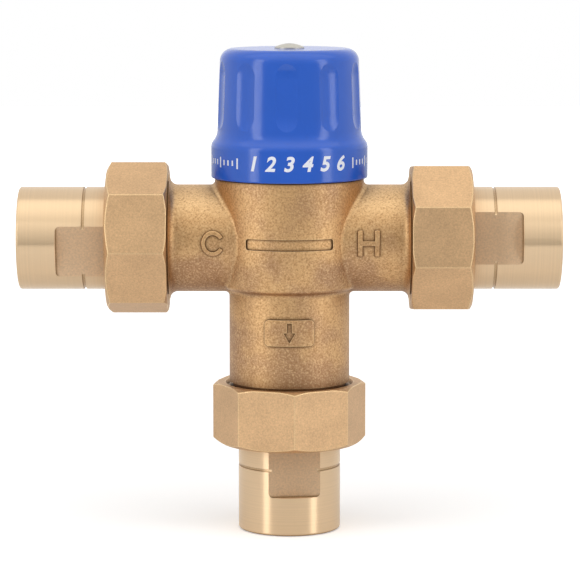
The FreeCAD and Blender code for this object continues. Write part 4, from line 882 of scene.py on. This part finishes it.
class VALVE_OT_mouldings(bpy.types.Operator):
    """Finishes the moulded shuttle, check cartridges and poppets"""

    bl_idname = "valve.mouldings"
    bl_label = "Mouldings"

    def execute(self, context):
        settings = context.scene.valve_inner
        # Acetal and glass-filled polymer, moulded: satin, with a faint flow pattern.
        wear(self.moulded("white_acetal", settings.acetal, 0.34),
             *(port + piece for port in INLETS
               for piece in ("_check_cage", "_check_spider", "_poppet")))
        wear(self.moulded("black_polymer", settings.polymer, 0.42), "shuttle")
        return {"FINISHED"}

    def moulded(self, name, base, roughness):
        material, tree, shader = new_finish(name, {"IOR": 1.48})
        place = add(tree, "ShaderNodeTexCoord").outputs["Object"]
        flow = add(tree, "ShaderNodeTexNoise", {"Vector": place, "Scale": 1 / (3 * MM),
                                                "Detail": 3.0, "Distortion": 0.6})
        mottle(tree, shader, flow.outputs[0], base, (0.92, 1.04),
               rough=(roughness - 0.06, roughness + 0.06))
        return material


class VALVE_OT_seals(bpy.types.Operator):
    """Finishes the rubber rings, the fibre gaskets and the copper bulb"""

    bl_idname = "valve.seals"
    bl_label = "Seals, gaskets and bulb"

    def execute(self, context):
        settings = context.scene.valve_inner
        wear(self.rubber(settings), "bonnet_seal", "spindle_seal_lower", "spindle_seal_upper",
             "shuttle_seal", *(port + piece for port in INLETS
                               for piece in ("_cage_seal", "_poppet_seal")))
        wear(self.fibre(settings), *(port + "_gasket" for port in PORTS))
        wear(self.copper(settings), "wax_element")
        return {"FINISHED"}

    def rubber(self, settings):
        # Nitrile rubber, moulded and greased: black, with a dusting of bloom.
        material, tree, shader = new_finish("nitrile_rubber", {"Roughness": 0.5})
        place = add(tree, "ShaderNodeTexCoord").outputs["Object"]
        bloom = add(tree, "ShaderNodeTexNoise", {"Vector": place, "Scale": 1 / (1.5 * MM),
                                                 "Detail": 3.0})
        mottle(tree, shader, bloom.outputs[0], settings.rubber, (0.8, 1.5))
        return material

    def fibre(self, settings):
        # Pressed fibre sheet, cut: matt and flecked with short fibres.
        material, tree, shader = new_finish("pressed_fibre", {"Roughness": 0.8})
        place = add(tree, "ShaderNodeTexCoord").outputs["Object"]
        strand = add(tree, "ShaderNodeTexNoise", {"Vector": place, "Scale": 1 / (0.4 * MM),
                                                  "Detail": 4.0, "Distortion": 1.5})
        mottle(tree, shader, strand.outputs[0], settings.fibre, (0.7, 1.25), span=(0.3, 0.7),
               relief=(0.4, 0.03 * MM))
        return material

    def copper(self, settings):
        # Deep-drawn copper: satin, with long soft marks down the bulb.
        material, tree, shader = new_finish("drawn_copper", {"Metallic": 1.0})
        place = add(tree, "ShaderNodeTexCoord").outputs["Object"]
        drawn = add(tree, "ShaderNodeMapping", {"Vector": place, "Scale": (1, 1, 0.1)})
        mark = add(tree, "ShaderNodeTexNoise", {"Vector": drawn.outputs[0],
                                                "Scale": 1 / (0.5 * MM), "Detail": 3.0})
        mottle(tree, shader, mark.outputs[0], settings.copper, (0.82, 1.05), span=(0.3, 0.7),
               rough=(0.25, 0.4))
        return material


class VALVE_PT_finish(bpy.types.Panel):
    """Lists the valve's settings and the steps that use them"""

    bl_idname = "VALVE_PT_finish"
    bl_label = "Mixing valve"
    bl_space_type = "VIEW_3D"
    bl_region_type = "UI"
    bl_category = "Valve"

    def draw(self, context):
        for name, kind in SETTINGS.items():
            box = self.layout.box()
            box.label(text=kind.__doc__)
            for entry in kind.__annotations__:
                box.prop(getattr(context.scene, name), entry)
        for step in STEPS:
            self.layout.operator(step.bl_idname)


SETTINGS = {
    "valve_studio": StudioSettings,
    "valve_casting": CastingSettings,
    "valve_cap": CapSettings,
    "valve_brass": BrassSettings,
    "valve_inner": InnerSettings,
}
STEPS = (
    VALVE_OT_stage,
    VALVE_OT_casting,
    VALVE_OT_cap,
    VALVE_OT_nuts,
    VALVE_OT_tails,
    VALVE_OT_bonnet,
    VALVE_OT_springs,
    VALVE_OT_mouldings,
    VALVE_OT_seals,
)


def register():
    for kind in (*SETTINGS.values(), *STEPS, VALVE_PT_finish):
        bpy.utils.register_class(kind)
    for name, kind in SETTINGS.items():
        setattr(bpy.types.Scene, name, bpy.props.PointerProperty(type=kind))


def unregister():
    for name in SETTINGS:
        delattr(bpy.types.Scene, name)
    for kind in (*SETTINGS.values(), *STEPS, VALVE_PT_finish):
        bpy.utils.unregister_class(kind)


def main():
    register()
    for step in STEPS:
        group, name = step.bl_idname.split(".")
        getattr(getattr(bpy.ops, group), name)()


if __name__ == "__main__":
    main()
